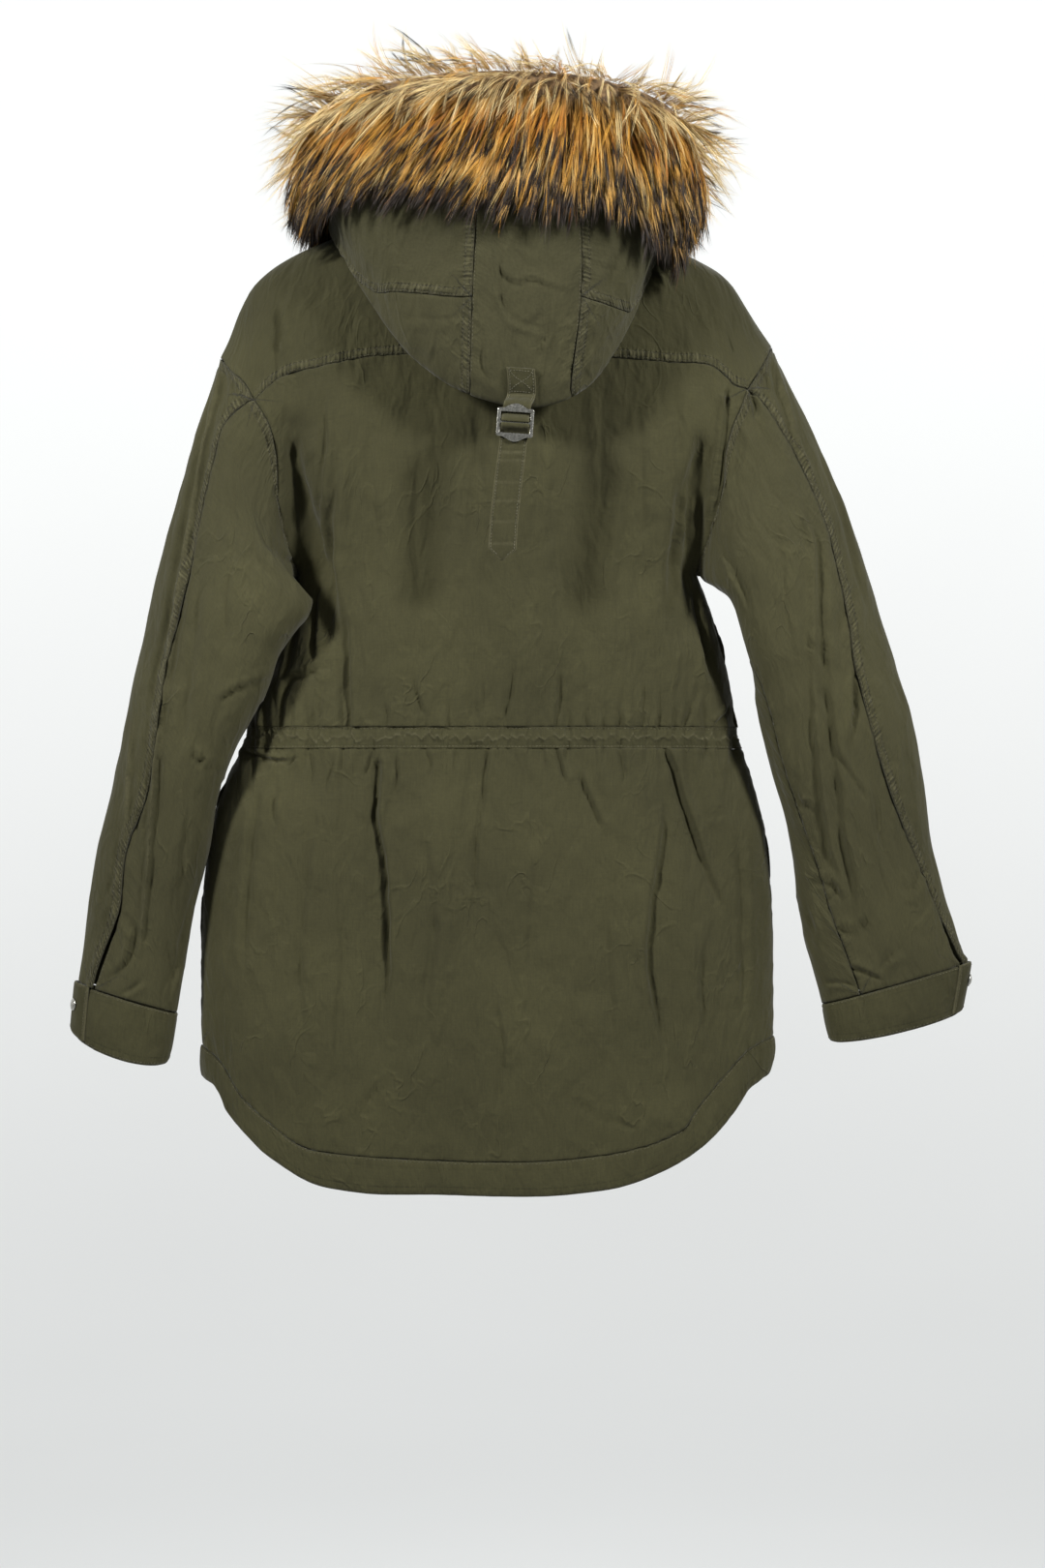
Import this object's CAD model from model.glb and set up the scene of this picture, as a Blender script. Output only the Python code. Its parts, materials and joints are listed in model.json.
import json
import math

import bmesh
import bpy
import numpy as np
from mathutils import Matrix, Vector

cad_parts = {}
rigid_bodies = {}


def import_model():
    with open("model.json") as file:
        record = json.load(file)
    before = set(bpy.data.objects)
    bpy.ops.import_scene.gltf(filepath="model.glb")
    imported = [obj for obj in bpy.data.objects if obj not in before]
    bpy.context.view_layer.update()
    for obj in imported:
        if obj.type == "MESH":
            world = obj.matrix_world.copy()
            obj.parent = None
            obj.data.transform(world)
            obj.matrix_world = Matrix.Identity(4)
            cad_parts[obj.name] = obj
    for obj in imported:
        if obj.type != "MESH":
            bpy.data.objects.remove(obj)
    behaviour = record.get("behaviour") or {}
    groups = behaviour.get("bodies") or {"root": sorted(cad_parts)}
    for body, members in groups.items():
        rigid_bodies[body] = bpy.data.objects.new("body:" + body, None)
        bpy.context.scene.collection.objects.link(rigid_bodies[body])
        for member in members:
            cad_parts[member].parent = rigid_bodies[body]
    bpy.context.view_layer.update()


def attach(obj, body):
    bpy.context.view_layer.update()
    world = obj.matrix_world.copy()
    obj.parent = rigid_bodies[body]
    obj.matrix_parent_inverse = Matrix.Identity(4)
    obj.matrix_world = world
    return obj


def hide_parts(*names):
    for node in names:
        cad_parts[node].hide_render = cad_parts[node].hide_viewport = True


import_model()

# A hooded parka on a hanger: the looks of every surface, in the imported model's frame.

SCENE = bpy.context.scene
SCENE.view_settings.view_transform = "Standard"
SCENE.view_settings.look = "None"

MM = 0.001

# ---------------------------------------------------------------- driving sizes (mm)
CLOTH = 2.0  # wall of the padded cotton cloth
TRIM_WALL = 1.6  # wall of tabs and straps
SEAM_GAP = 0.5  # between the edges of two pieces at a seam
SIDE_GAP = 1.0  # between back and front at the side seams
LIFT = 0.5  # from a panel to what lies on it

BACK_DEPTH = 54.0  # from the middle plane to the back, at the chest
FRONT_DEPTH = 52.0
ROUND_TOP = 105.0  # how far in from the shoulder ridge the form reaches its full depth
ROUND_SIDE = 118.0  # and from the side seam
CROWN = 7.0  # extra fullness down the middle

WAIST_TOP, WAIST_BOTTOM = -530.5, -549.5  # the drawstring channel
UNDERARM_Z = -392.0
SIDE_END_Z = -845.0  # where the side seam ends in the shirt-tail hem

STRAP_WIDTH = 24.5
PLACKET_WIDTH = 64.0
FRONT_YOKE = 36.0  # how far the yoke comes over the ridge to the front

# ---------------------------------------------------------------- outline tables (mm)
# shoulder ridge, left to right, over the neck as a virtual arch: x, z
RIDGE = [
    (-247, -197), (-241, -185), (-228, -152), (-218, -134), (-205, -121), (-180, -105),
    (-148, -91), (-93, -71), (-45, -59), (0, -55), (45, -59), (92, -73), (145, -94),
    (187, -112), (202, -121), (215, -134), (223, -147), (236, -168), (249, -187),
]
# side seam from the underarm to its end, and straight on below: x, z
SIDE_LEFT = [
    (-178, -392), (-187, -430), (-201, -480), (-222, -528), (-228, -549), (-242, -576),
    (-254, -612), (-262, -668), (-265, -740), (-265, -823), (-264, -845), (-264, -970),
]
SIDE_RIGHT = [
    (182, -392), (196, -430), (210, -480), (218, -528), (222, -549), (232, -580),
    (243, -622), (249, -684), (251, -740), (252, -803), (252, -829), (251, -845),
    (251, -970),
]
# armhole seam from the shoulder tip to the underarm: x, z
ARMHOLE_LEFT = [
    (-247, -197), (-236, -211), (-224, -222), (-213, -240), (-200, -262), (-194, -287),
    (-192, -330), (-187, -363), (-181, -382), (-178, -392),
]
ARMHOLE_RIGHT = [
    (249, -187), (246, -194), (235, -214), (225, -230), (220, -244), (212, -262),
    (206, -282), (203, -317), (194, -357), (185, -382), (182, -392),
]
YOKE_SEAM = [
    (-213, -240), (-195, -223), (-155, -211), (-115, -203), (-76, -200), (0, -199),
    (76, -200), (107, -203), (154, -207), (197, -212), (206, -219), (214, -227),
    (225, -230),
]
NECK_BACK = [(-93, -71), (-80, -79), (-60, -87), (-30, -95), (0, -97), (30, -95),
             (60, -87), (80, -80), (92, -73)]
NECK_FRONT_LEFT = [(0, -160), (-30, -157), (-55, -146), (-76, -127), (-93, -108)]
# shirt-tail hem edge and the seam of its turned band, back: x, z
HEM_EDGE = [
    (-264, -845), (-252, -851), (-239, -874), (-227, -888), (-209, -906), (-183, -924),
    (-165, -934), (-124, -943), (-54, -945), (76, -944), (114, -938), (142, -928),
    (170, -914), (198, -892), (216, -871), (232, -850), (245, -843), (251, -828),
]
HEM_SEAM = [
    (-264, -816), (-247, -828), (-224, -862), (-197, -885), (-169, -904), (-142, -909),
    (-109, -912), (-54, -915), (76, -913), (92, -911), (128, -904), (149, -897),
    (171, -884), (180, -870), (206, -840), (229, -817), (251, -808),
]

# ---------------------------------------------------------------- folds of the cloth
# a soft trough (depth > 0) or ridge along a line, on the back (side -1) or front (+1)
# side, x0, z0, x1, z1, half width, depth
FOLDS = [
    (-1, -178, -270, -158, -440, 17, 17), (-1, 182, -290, 172, -440, 16, 15),
    (-1, -150, -300, -140, -420, 20, -5), (-1, 152, -290, 150, -430, 20, -5),
    (-1, -104, -575, -100, -800, 17, 6), (-1, -12, -560, -16, -730, 17, 5),
    (-1, 150, -552, 202, -705, 24, 9), (-1, 146, -600, 150, -850, 16, 5),
    (-1, -130, -528, -133, -430, 16, 6), (-1, 60, -528, 64, -470, 14, 4),
    (-1, 140, -528, 132, -400, 18, 4), (-1, 70, -250, 84, -470, 24, 3),
    (-1, -66, -260, -72, -470, 26, 3), (-1, 90, -600, 96, -760, 20, 4),
    (1, -60, -250, -72, -500, 26, 5), (1, 64, -250, 80, -500, 24, 5),
    (1, -120, -552, -112, -800, 22, 7), (1, 118, -552, 126, -770, 20, 6),
    (1, -176, -290, -160, -440, 18, 13), (1, 180, -290, 166, -440, 18, 13),
    (1, -190, -560, -204, -700, 18, 6), (1, 186, -560, 196, -720, 20, 6),
]

# ---------------------------------------------------------------- sleeves (mm)
# ring: outer x, z, inner x, z, y of the outer end, y of the inner end, half depth to
# the back, half depth to the front, share of the width where the back seam lies,
# share from the inner edge where the underarm seam lies (below 0: on the front)
SLEEVE_COLUMNS = ("ox", "oz", "ix", "iz", "yo", "yi", "back", "front", "seam", "under")
SLEEVE_LEFT = [
    (-247, -198, -178, -392, 0, 0, 48, 48, 0.22, 0.0),
    (-258, -232, -182, -402, -3, -24, 44, 48, 0.20, 0.0),
    (-278, -298, -164, -419, -8, -48, 38, 54, 0.19, -0.01),
    (-291, -348, -167, -431, -10, -54, 38, 55, 0.21, -0.03),
    (-304, -400, -177, -444, -12, -54, 39, 54, 0.23, -0.03),
    (-313, -445, -191, -466, -13, -50, 39, 52, 0.24, -0.04),
    (-325, -494, -205, -502, -14, -44, 39, 49, 0.27, -0.04),
    (-334, -545, -229, -545, -15, -37, 37, 44, 0.33, -0.05),
    (-344, -590, -248, -592, -16, -31, 35, 40, 0.38, -0.05),
    (-356, -642, -258, -642, -16, -26, 33, 37, 0.29, -0.05),
    (-364, -692, -269, -692, -16, -23, 31, 34, 0.33, -0.05),
    (-370, -732, -277, -736, -16, -20, 29, 32, 0.25, -0.05),
    (-374, -759, -286, -786, -16, -18, 28, 31, 0.19, -0.05),
]
SLEEVE_RIGHT = [
    (249, -188, 182, -392, 0, 0, 48, 48, 0.22, 0.0),
    (266, -224, 189, -399, -3, -20, 44, 48, 0.20, 0.0),
    (287, -266, 200, -407, -6, -40, 41, 52, 0.19, -0.02),
    (312, -328, 211, -418, -9, -44, 40, 53, 0.20, -0.02),
    (330, -380, 218, -436, -11, -44, 40, 52, 0.23, -0.02),
    (347, -433, 226, -462, -12, -42, 40, 50, 0.27, -0.01),
    (361, -476, 233, -488, -13, -38, 39, 48, 0.32, 0.02),
    (374, -524, 237, -522, -14, -34, 38, 45, 0.31, 0.07),
    (386, -590, 248, -570, -14, -29, 36, 42, 0.26, 0.08),
    (391, -632, 260, -612, -14, -25, 34, 39, 0.18, 0.10),
    (401, -670, 269, -652, -14, -22, 32, 36, 0.13, 0.14),
    (410, -702, 274, -690, -14, -20, 30, 34, 0.09, 0.18),
    (421, -733, 284, -735, -14, -18, 29, 32, 0.07, 0.22),
    (425, -741, 295, -778, -14, -17, 28, 31, 0.06, 0.24),
]
# lower edge of each cuff: outer x, z, inner x, z, sag of its back
CUFF_EDGE = {"left": (-378, -801, -293, -828, 12), "right": (417, -784, 302, -811, 6)}
CUFF_TAB = {"left": (-34, 46), "right": (-40, 34)}  # degrees round the cuff
VENT_RINGS = 3  # the back seam is open over this many rings above the cuff
VENT_WIDTH = 0.035  # widest opening, as a share of the sleeve's width
# ---------------------------------------------------------------- hood (mm)
# section: place round the hood, neck seam at a share of its own run, lowest fold of
# the fallen hood x, y, z, rim x, y, z, fold share (0 at the front, 1 where it folds)
HOOD_COLUMNS = ("v", "neck", "fx", "fy", "fz", "rx", "ry", "rz", "fold")
HOOD = [
    (0.00, 0.010, -14, 61, -145, -16, 67, -128, 0.0),
    (0.08, 0.095, -54, 59, -128, -64, 62, -104, 0.0),
    (0.16, 0.185, -100, 48, -100, -116, 40, -62, 0.1),
    (0.24, 0.290, -138, 12, -82, -142, -4, -28, 0.6),
    (0.31, 0.345, -147, -24, -88, -148, -50, -6, 1.0),
    (0.37, 0.380, -128, -56, -124, -128, -88, 4, 1.0),
    (0.42, 0.415, -104, -76, -164, -95, -108, 12, 1.0),
    (0.46, 0.445, -72, -90, -206, -55, -119, 17, 1.0),
    (0.50, 0.480, -28, -98, -238, -15, -124, 19, 1.0),
    (0.54, 0.515, 30, -101, -252, 30, -125, 19, 1.0),
    (0.58, 0.545, 72, -97, -240, 75, -120, 16, 1.0),
    (0.63, 0.580, 104, -87, -205, 118, -106, 9, 1.0),
    (0.69, 0.625, 130, -66, -150, 150, -76, -2, 1.0),
    (0.76, 0.700, 148, -14, -84, 160, -26, -24, 0.9),
    (0.84, 0.815, 104, 46, -103, 120, 38, -64, 0.1),
    (0.92, 0.905, 54, 59, -128, 66, 61, -104, 0.0),
    (1.00, 0.990, 14, 61, -145, 16, 67, -128, 0.0),
]
FOLD_T = 0.42  # place of the fold on the way from the neck seam to the rim
HOOD_BULGE = 15.0  # fullness of the outer layer
CENTRE_SEAMS = (0.505, 0.575)  # both seams of the centre strip, round the hood
# cross seam of the side panels: place round the hood, place from neck to rim
CROSS_LEFT = [(0.0, 0.38), (0.16, 0.36), (0.28, 0.37), (0.36, 0.405), (0.413, 0.478),
              (0.447, 0.569), (0.470, 0.603), (0.505, 0.635)]
CROSS_RIGHT = [(0.575, 0.640), (0.604, 0.602), (0.637, 0.545), (0.67, 0.465),
               (0.72, 0.40), (0.84, 0.36), (1.0, 0.38)]

# fur trim: how far down the outer layer it reaches, thickness, height over the rim and
# reach inside the rim, at places round the hood
FUR = [
    # v, lowest t, out, up, in
    (0.02, 0.80, 22, 22, 14),
    (0.10, 0.72, 30, 30, 20),
    (0.18, 0.66, 34, 38, 24),
    (0.26, 0.60, 36, 42, 26),
    (0.34, 0.58, 38, 44, 26),
    (0.38, 0.69, 39, 45, 26),
    (0.42, 0.74, 42, 46, 26),
    (0.50, 0.77, 46, 48, 26),
    (0.58, 0.77, 46, 48, 26),
    (0.62, 0.73, 45, 47, 26),
    (0.66, 0.67, 44, 46, 26),
    (0.70, 0.57, 43, 45, 26),
    (0.74, 0.53, 41, 43, 26),
    (0.78, 0.56, 38, 42, 26),
    (0.84, 0.64, 34, 38, 24),
    (0.90, 0.72, 30, 30, 20),
    (0.98, 0.80, 22, 22, 14),
]

# ---------------------------------------------------------------- strap and buckle (mm)
# middle of the hanging strap: x, y, z
STRAP_TOP = [(23.4, -219.5), (24.4, -232.0), (24.0, -242.0)]  # x, z on the hood
STRAP_DROP = [(22.5, -121.5, -252.0), (19.5, -122.5, -267.0), (16.0, -121.0, -284.0),
              (12.5, -119.0, -320.0), (9.0, -117.0, -352.0), (7.4, -116.0, -377.0)]
BUCKLE_CENTRE = (18.6, -122.6, -268.0)
BUCKLE_WIDTH, BUCKLE_HEIGHT, BUCKLE_BAR, BUCKLE_THICK = 32.0, 25.0, 3.0, 2.4
BUCKLE_LOBE = 4.2  # how far each rounded lobe stands above and below the frame
BUCKLE_TILT = 4.0  # degrees, with the strap

# ---------------------------------------------------------------- hanger (mm)
HANGER_END = 209.0
HANGER_HEIGHT, HANGER_END_HEIGHT = 27.0, 17.0
HANGER_THICK = 13.0
HANGER_DROP = 6.5  # from the cloth's middle down to the top of the bar
HOOK_WIRE = 1.9  # radius
HOOK_RADIUS = 20.0

# ---------------------------------------------------------------- colours
# ================================================================ curve helpers
def slopes(xs, ys, monotone):
    h = np.diff(xs)
    d = np.diff(ys) / h
    m = np.empty(len(xs))
    m[0], m[-1] = d[0], d[-1]
    a, b = d[:-1], d[1:]
    if monotone:
        same = a * b > 0
        w1, w2 = 2 * h[1:] + h[:-1], h[1:] + 2 * h[:-1]
        m[1:-1] = np.where(
            same,
            (w1 + w2) / (w1 / np.where(same, a, 1) + w2 / np.where(same, b, 1)),
            0,
        )
    else:
        m[1:-1] = (a * h[1:] + b * h[:-1]) / (h[1:] + h[:-1])
    return m


def cubic(xs, ys, x, monotone=True):
    """A smooth curve through the points (xs, ys), read at x."""
    xs, ys, x = np.asarray(xs, float), np.asarray(ys, float), np.asarray(x, float)
    m = slopes(xs, ys, monotone)
    x = np.clip(x, xs[0], xs[-1])
    i = np.clip(np.searchsorted(xs, x, side="right") - 1, 0, len(xs) - 2)
    h = xs[i + 1] - xs[i]
    t = (x - xs[i]) / h
    return (
        ys[i] * (1 + 2 * t) * (1 - t) ** 2
        + m[i] * h * t * (1 - t) ** 2
        + ys[i + 1] * t * t * (3 - 2 * t)
        + m[i + 1] * h * t * t * (t - 1)
    )


class Run:
    """A smooth plane or space curve through points, read by its share of length."""

    def __init__(self, points, monotone=False):
        p = np.asarray(points, float)
        chord = np.r_[0, np.cumsum(np.linalg.norm(np.diff(p, axis=0), axis=1))]
        fine = np.linspace(0, chord[-1], 40 * len(p))
        q = np.stack([cubic(chord, c, fine, monotone) for c in p.T], 1)
        length = np.r_[0, np.cumsum(np.linalg.norm(np.diff(q, axis=0), axis=1))]
        self.points, self.share, self.length = q, length / length[-1], length[-1]

    def __call__(self, s):
        s = np.asarray(s, float)
        return np.stack([np.interp(s, self.share, c) for c in self.points.T], -1)

    def nearest_share(self, x, column=0):
        return float(self.share[np.argmin(np.abs(self.points[:, column] - x))])

    def part(self, a, b):
        """The same curve between two shares of its length, as its own run."""
        keep = (self.share > a) & (self.share < b)
        return Run(np.vstack([self(a), self.points[keep][::6], self(b)]))


def distance_to(points, x, z):
    """How far each (x, z) is from a broken line."""
    p = np.asarray(points, float)
    best = np.full(np.shape(x), np.inf)
    for (ax, az), (bx, bz) in zip(p[:-1], p[1:]):
        dx, dz = bx - ax, bz - az
        t = np.clip(((x - ax) * dx + (z - az) * dz) / (dx * dx + dz * dz), 0, 1)
        best = np.minimum(best, np.hypot(x - ax - t * dx, z - az - t * dz))
    return best


# ================================================================ the body's form
RIDGE_RUN = Run(RIDGE)
OUTLINE_TOP = np.vstack([RIDGE[:1], RIDGE_RUN.points[6:-6:8], RIDGE[-1:]])


def column(rows, name, names):
    return [row[names.index(name)] for row in rows]


def fullness(x, z):
    """0 at the shoulder ridge and the side seams, 1 well inside them."""
    top = np.clip(distance_to(OUTLINE_TOP, x, z) / ROUND_TOP, 0, 1)
    side = np.minimum(distance_to(SIDE_LEFT, x, z), distance_to(SIDE_RIGHT, x, z))
    side = np.clip(side / ROUND_SIDE, 0, 1)
    return np.sqrt(1 - (1 - top) ** 2) * np.sqrt(1 - (1 - side) ** 2)


def fold_depth(x, z, side):
    total = np.zeros(np.shape(x))
    for which, x0, z0, x1, z1, width, depth in FOLDS:
        if which != side:
            continue
        dx, dz = x1 - x0, z1 - z0
        t = ((x - x0) * dx + (z - z0) * dz) / (dx * dx + dz * dz)
        c = np.clip(t, 0, 1)
        away = np.hypot(x - x0 - c * dx, z - z0 - c * dz)
        ease = np.sin(np.pi * np.clip(0.12 + 0.76 * c, 0, 1)) ** 0.6
        total += depth * ease * np.exp(-((away / width) ** 2))
    return total


def depth(x, z, side):
    """y of the cloth's middle: side -1 is the back, +1 the front."""
    x, z = np.asarray(x, float), np.asarray(z, float)
    full = fullness(x, z)
    reach = BACK_DEPTH if side < 0 else FRONT_DEPTH
    reach = reach + CROWN * np.cos(np.clip(x / 260, -1, 1) * np.pi / 2) * np.clip(
        (-120 - z) / 200, 0, 1
    )
    reach = reach - 6 * np.exp(-(((z + 540) / 60) ** 2))  # drawn in at the waist
    y = reach * full - fold_depth(x, z, side) * np.clip(full * 1.6 - 0.3, 0, 1)
    gap = SIDE_GAP / 2 * np.clip((-197 - z) / 40, 0, 1)
    return side * (gap + np.maximum(y, 0))


def on_body(xz, side, lift=0.0):
    xz = np.asarray(xz, float)
    y = depth(xz[..., 0], xz[..., 1], side)
    return np.stack([xz[..., 0], y + side * lift, xz[..., 1]], -1)


def patch(top, bottom, left, right):
    """Points (x, z) between four rows of edge points: rows down, columns across."""
    t, b, l, q = (np.asarray(e, float) for e in (top, bottom, left, right))

    def shares(p, o):
        a = np.r_[0, np.cumsum(np.linalg.norm(np.diff(p, axis=0), axis=1))]
        c = np.r_[0, np.cumsum(np.linalg.norm(np.diff(o, axis=0), axis=1))]
        return a / a[-1], c / c[-1]

    r = np.linspace(0, 1, len(l))[:, None]
    ra, rb = shares(l, q)
    s0, s1 = shares(t, b)
    S = (s0[None] * (1 - r) + s1[None] * r)[..., None]
    s = np.linspace(0, 1, len(t))[None]
    R = (ra[:, None] * (1 - s) + rb[:, None] * s)[..., None]
    return (
        (1 - R) * t[None] + R * b[None] + (1 - S) * l[:, None] + S * q[:, None]
        - (1 - S) * (1 - R) * t[0] - S * (1 - R) * t[-1]
        - (1 - S) * R * b[0] - S * R * b[-1]
    )


def beside(points, d):
    """A row of (x, z) points moved sideways by d: to its left going along it."""
    p = np.asarray(points, float)
    g = np.gradient(p, axis=0)
    g /= np.linalg.norm(g, axis=1, keepdims=True)
    return p + np.stack([-g[:, 1], g[:, 0]], 1) * d


# ================================================================ making objects
# ================================================================ body pieces
# Columns and rows are shared by the pieces on both sides of a seam, so their edges run
# side by side. Shares of the armhole's length, from the shoulder tip to the underarm:
ARM_TIP_STEPS = (0.0, 0.30, 0.62, 1.0)  # back, from the tip to the yoke seam
ARM_FRONT_STEPS = (0.0, 0.5, 1.0)  # front, from the tip to the yoke's front seam
SHOULDER_STEPS, NECK_STEPS = 5, 6  # columns of the yoke
ARM_RUN = {-1: Run(ARMHOLE_LEFT), 1: Run(ARMHOLE_RIGHT)}
SEAM_RUN = Run(YOKE_SEAM)


def back_join(hand):
    """Share of the armhole where the back yoke seam meets it."""
    x, z = YOKE_SEAM[0] if hand < 0 else YOKE_SEAM[-1]
    run = ARM_RUN[hand]
    return float(run.share[np.argmin(np.hypot(*(run.points - (x, z)).T))])


def front_join(hand):
    """Share of the armhole where the yoke's front seam meets it."""
    run = ARM_RUN[hand]
    s = np.linspace(0.02, 0.3, 200)
    p = run(s)
    low = np.array([ridge_z(x) for x in p[:, 0]]) - FRONT_YOKE
    return float(s[np.argmin(np.abs(p[:, 1] - low))])


def ridge_z(x):
    return float(np.interp(x, RIDGE_RUN.points[:, 0], RIDGE_RUN.points[:, 1]))


def shoulder_tops(hand):
    """The ridge's columns from the shoulder tip to the neck: (x, z) rows."""
    n = len(ARM_TIP_STEPS) - 1
    tip, end = (-247.0, -93) if hand < 0 else (249.0, 92)
    first = (-230.0 if hand < 0 else 233.0)
    xs = np.r_[tip + (first - tip) * np.array([0, 0.28, 0.6]),
               first + (end - first) * np.linspace(0, 1, SHOULDER_STEPS + 1)]
    assert len(xs) == n + SHOULDER_STEPS + 1
    return np.array([(x, ridge_z(x)) for x in xs])


def front_seam_points(hand):
    """The yoke's front seam, from the neck side to the armhole."""
    tops = shoulder_tops(hand)[len(ARM_FRONT_STEPS) :][::-1]
    join = ARM_RUN[hand](front_join(hand))
    xs = np.r_[tops[:, 0], join[0]]
    return np.array([(x, ridge_z(x) - FRONT_YOKE) for x in xs[:-1]] + [tuple(join)])


def at_height(rows, z):
    return float(np.interp(z, [p[1] for p in rows][::-1], [p[0] for p in rows][::-1]))


def gathered(xz, side, lift):
    """The channel's points, standing out in a soft ruffle."""
    p = on_body(xz, side, lift)
    middle = np.sin(np.pi * (WAIST_TOP - xz[..., 1]) / (WAIST_TOP - WAIST_BOTTOM))
    p[..., 1] += side * 2.4 * np.clip(middle, 0, 1) ** 2
    return p


def hem_between(rows, x0, x1, shift, raise_by=0.0):
    """The part of a hem line between two x, moved along z by shift and raise_by."""
    run = Run(rows)
    xs, zs = run.points[:, 0], run.points[:, 1]
    keep = (xs > x0 + 1.5) & (xs < x1 - 1.5)
    pts = run.points[keep][::14]
    ends = [(x, float(np.interp(x, xs, zs))) for x in (x0, x1)]
    pts = np.vstack([ends[0], pts, ends[1]])
    lift = raise_by * np.clip((-850 - pts[:, 1]) / 90, 0, 1)
    pts[:, 1] += shift + lift
    return Run(pts)


FRONT_RAISE = 14.0  # the front tail is this much shorter than the back


# ================================================================ sleeves
ARM_GAP = 0.25  # from the body's armhole edge to the sleeve's first ring
SLEEVE_CLEAR = 5.0  # from the back panel to the part of a sleeve that lies over it


def at_body_edge(z, hand):
    """x of the body's edge at a height: the armhole, then the side seam."""
    arm = ARMHOLE_LEFT if hand < 0 else ARMHOLE_RIGHT
    side = SIDE_LEFT if hand < 0 else SIDE_RIGHT
    rows = (arm + side[1:])[::-1]
    return np.interp(z, [p[1] for p in rows], [p[0] for p in rows])


def ring_values(rows, extra, t):
    """Each column of the ring table at places t along the sleeve (ring numbers)."""
    k = np.arange(len(rows) + 1)
    full = list(rows) + [extra]
    return {
        name: cubic(k, column(full, name, SLEEVE_COLUMNS), t)
        for name in SLEEVE_COLUMNS
    }


def sleeve_surface(hand):
    """P(t, angle): 0 degrees is the outer edge, 90 the back, 180 the inner edge."""
    rows = SLEEVE_LEFT if hand < 0 else SLEEVE_RIGHT
    arm = ARM_RUN[hand]
    ox, oz, ix, iz, sag = CUFF_EDGE["left" if hand < 0 else "right"]
    last = rows[-1]
    cuff = (ox, oz, ix, iz, last[4], last[5], last[6], last[7], last[8], last[9])

    def surface(t, angle):
        t, angle = np.broadcast_arrays(np.asarray(t, float), np.asarray(angle, float))
        c = ring_values(rows, cuff, t)
        a = np.radians(angle)
        outer = np.stack([c["ox"], c["yo"], c["oz"]], -1)
        inner = np.stack([c["ix"], c["yi"], c["iz"]], -1)
        across = (1 - np.cos(a)) / 2
        p = outer + (inner - outer) * across[..., None]
        s = np.sin(a)
        bulge = np.sign(s) * np.abs(s) ** 0.92
        p[..., 1] -= np.where(bulge > 0, c["back"], c["front"]) * bulge
        down = sag * np.clip((t - len(rows) + 1), 0, 1) * np.clip(s, 0, 1)
        p[..., 2] -= down
        # the first ring is the armhole itself, a little way out from the body
        back = s >= 0
        turn = np.where(back, angle, 360 - angle) / 180
        xz = arm(np.clip(turn, 0, 1))
        hole = np.where(back[..., None], on_body(xz, -1), on_body(xz, 1))
        hole[..., 0] += hand * ARM_GAP
        hole[..., 2] -= ARM_GAP * 0.4
        # where the sleeve lies in front of the back panel it stays clear of it
        edge = at_body_edge(p[..., 2], hand)
        inside = hand * (edge - p[..., 0])
        w = np.clip((inside + 13) / 14, 0, 1)
        w = w * w * (3 - 2 * w)
        limit = 60 * (1 - w) + w * (depth(p[..., 0], p[..., 2], -1) - SLEEVE_CLEAR)
        pushed = np.minimum(p[..., 1], limit)
        p[..., 1] += (pushed - p[..., 1]) * np.clip((t - 0.35) / 1.1, 0, 1)
        mix = np.clip(t, 0, 1)[..., None]
        mix = mix * mix * (3 - 2 * mix)
        return hole * (1 - mix) + p * mix

    return surface, rows


def seam_angles(rows, t, hand):
    k = np.arange(len(rows))
    under = cubic(k, column(rows, "under", SLEEVE_COLUMNS), t)
    at_ring = np.degrees(np.arccos(1 - 2 * np.array(column(rows, "seam", SLEEVE_COLUMNS))))
    at_ring[0] = back_join(hand) * 180
    back = cubic(k, at_ring, t)
    inner = np.degrees(np.arccos(1 - 2 * np.abs(under)))
    return back, 180 - np.sign(under) * inner


def degree_length(surface, t, angle):
    """How long one degree round the sleeve is at (t, angle), in mm."""
    d = surface(t, angle + 2) - surface(t, angle - 2)
    return np.maximum(np.linalg.norm(d, axis=-1) / 4, 0.3)


def cuff_point(hand, share, angle, lift):
    """A point of the cuff, moved out by lift. share 0 is its seam, 1 its edge."""
    surface, rows = sleeve_surface(hand)
    t = len(rows) - 1 + np.asarray(share, float)
    p = surface(t, angle)
    if not np.any(lift):
        return p
    e = 0.5
    along = surface(np.minimum(t + 0.02, len(rows)), angle) - surface(t - 0.02, angle)
    round_ = surface(t, np.asarray(angle) + e) - surface(t, np.asarray(angle) - e)
    n = np.cross(along, round_)
    n /= np.linalg.norm(n, axis=-1, keepdims=True)
    middle = surface(t, np.asarray(angle) * 0) / 2 + surface(
        t, np.asarray(angle) * 0 + 180
    ) / 2
    n *= np.sign(np.sum(n * (p - middle), -1, keepdims=True))
    return p + n * lift


# ================================================================ hood
def neck_ring():
    """The neck seam in space, from the front middle, round the left, to the front."""
    left = [on_body(np.array(p, float), 1) for p in NECK_FRONT_LEFT]
    left += [on_body(np.array((-93.0, z)), 1) for z in (-99, -90, -83, -77, -73)]
    back = [on_body(np.array(p, float), -1) for p in NECK_BACK]
    right = [on_body(np.array((-x, z), float), 1) for x, z in NECK_FRONT_LEFT[::-1]]
    right = [on_body(np.array((92.0, z)), 1) for z in (-73, -77, -83, -90, -99)] + right
    return Run(np.array(left + back + right))


NECK_RING = neck_ring()


def hood_column(name, v):
    return cubic(
        column(HOOD, "v", HOOD_COLUMNS), column(HOOD, name, HOOD_COLUMNS), v, False
    )


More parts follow.
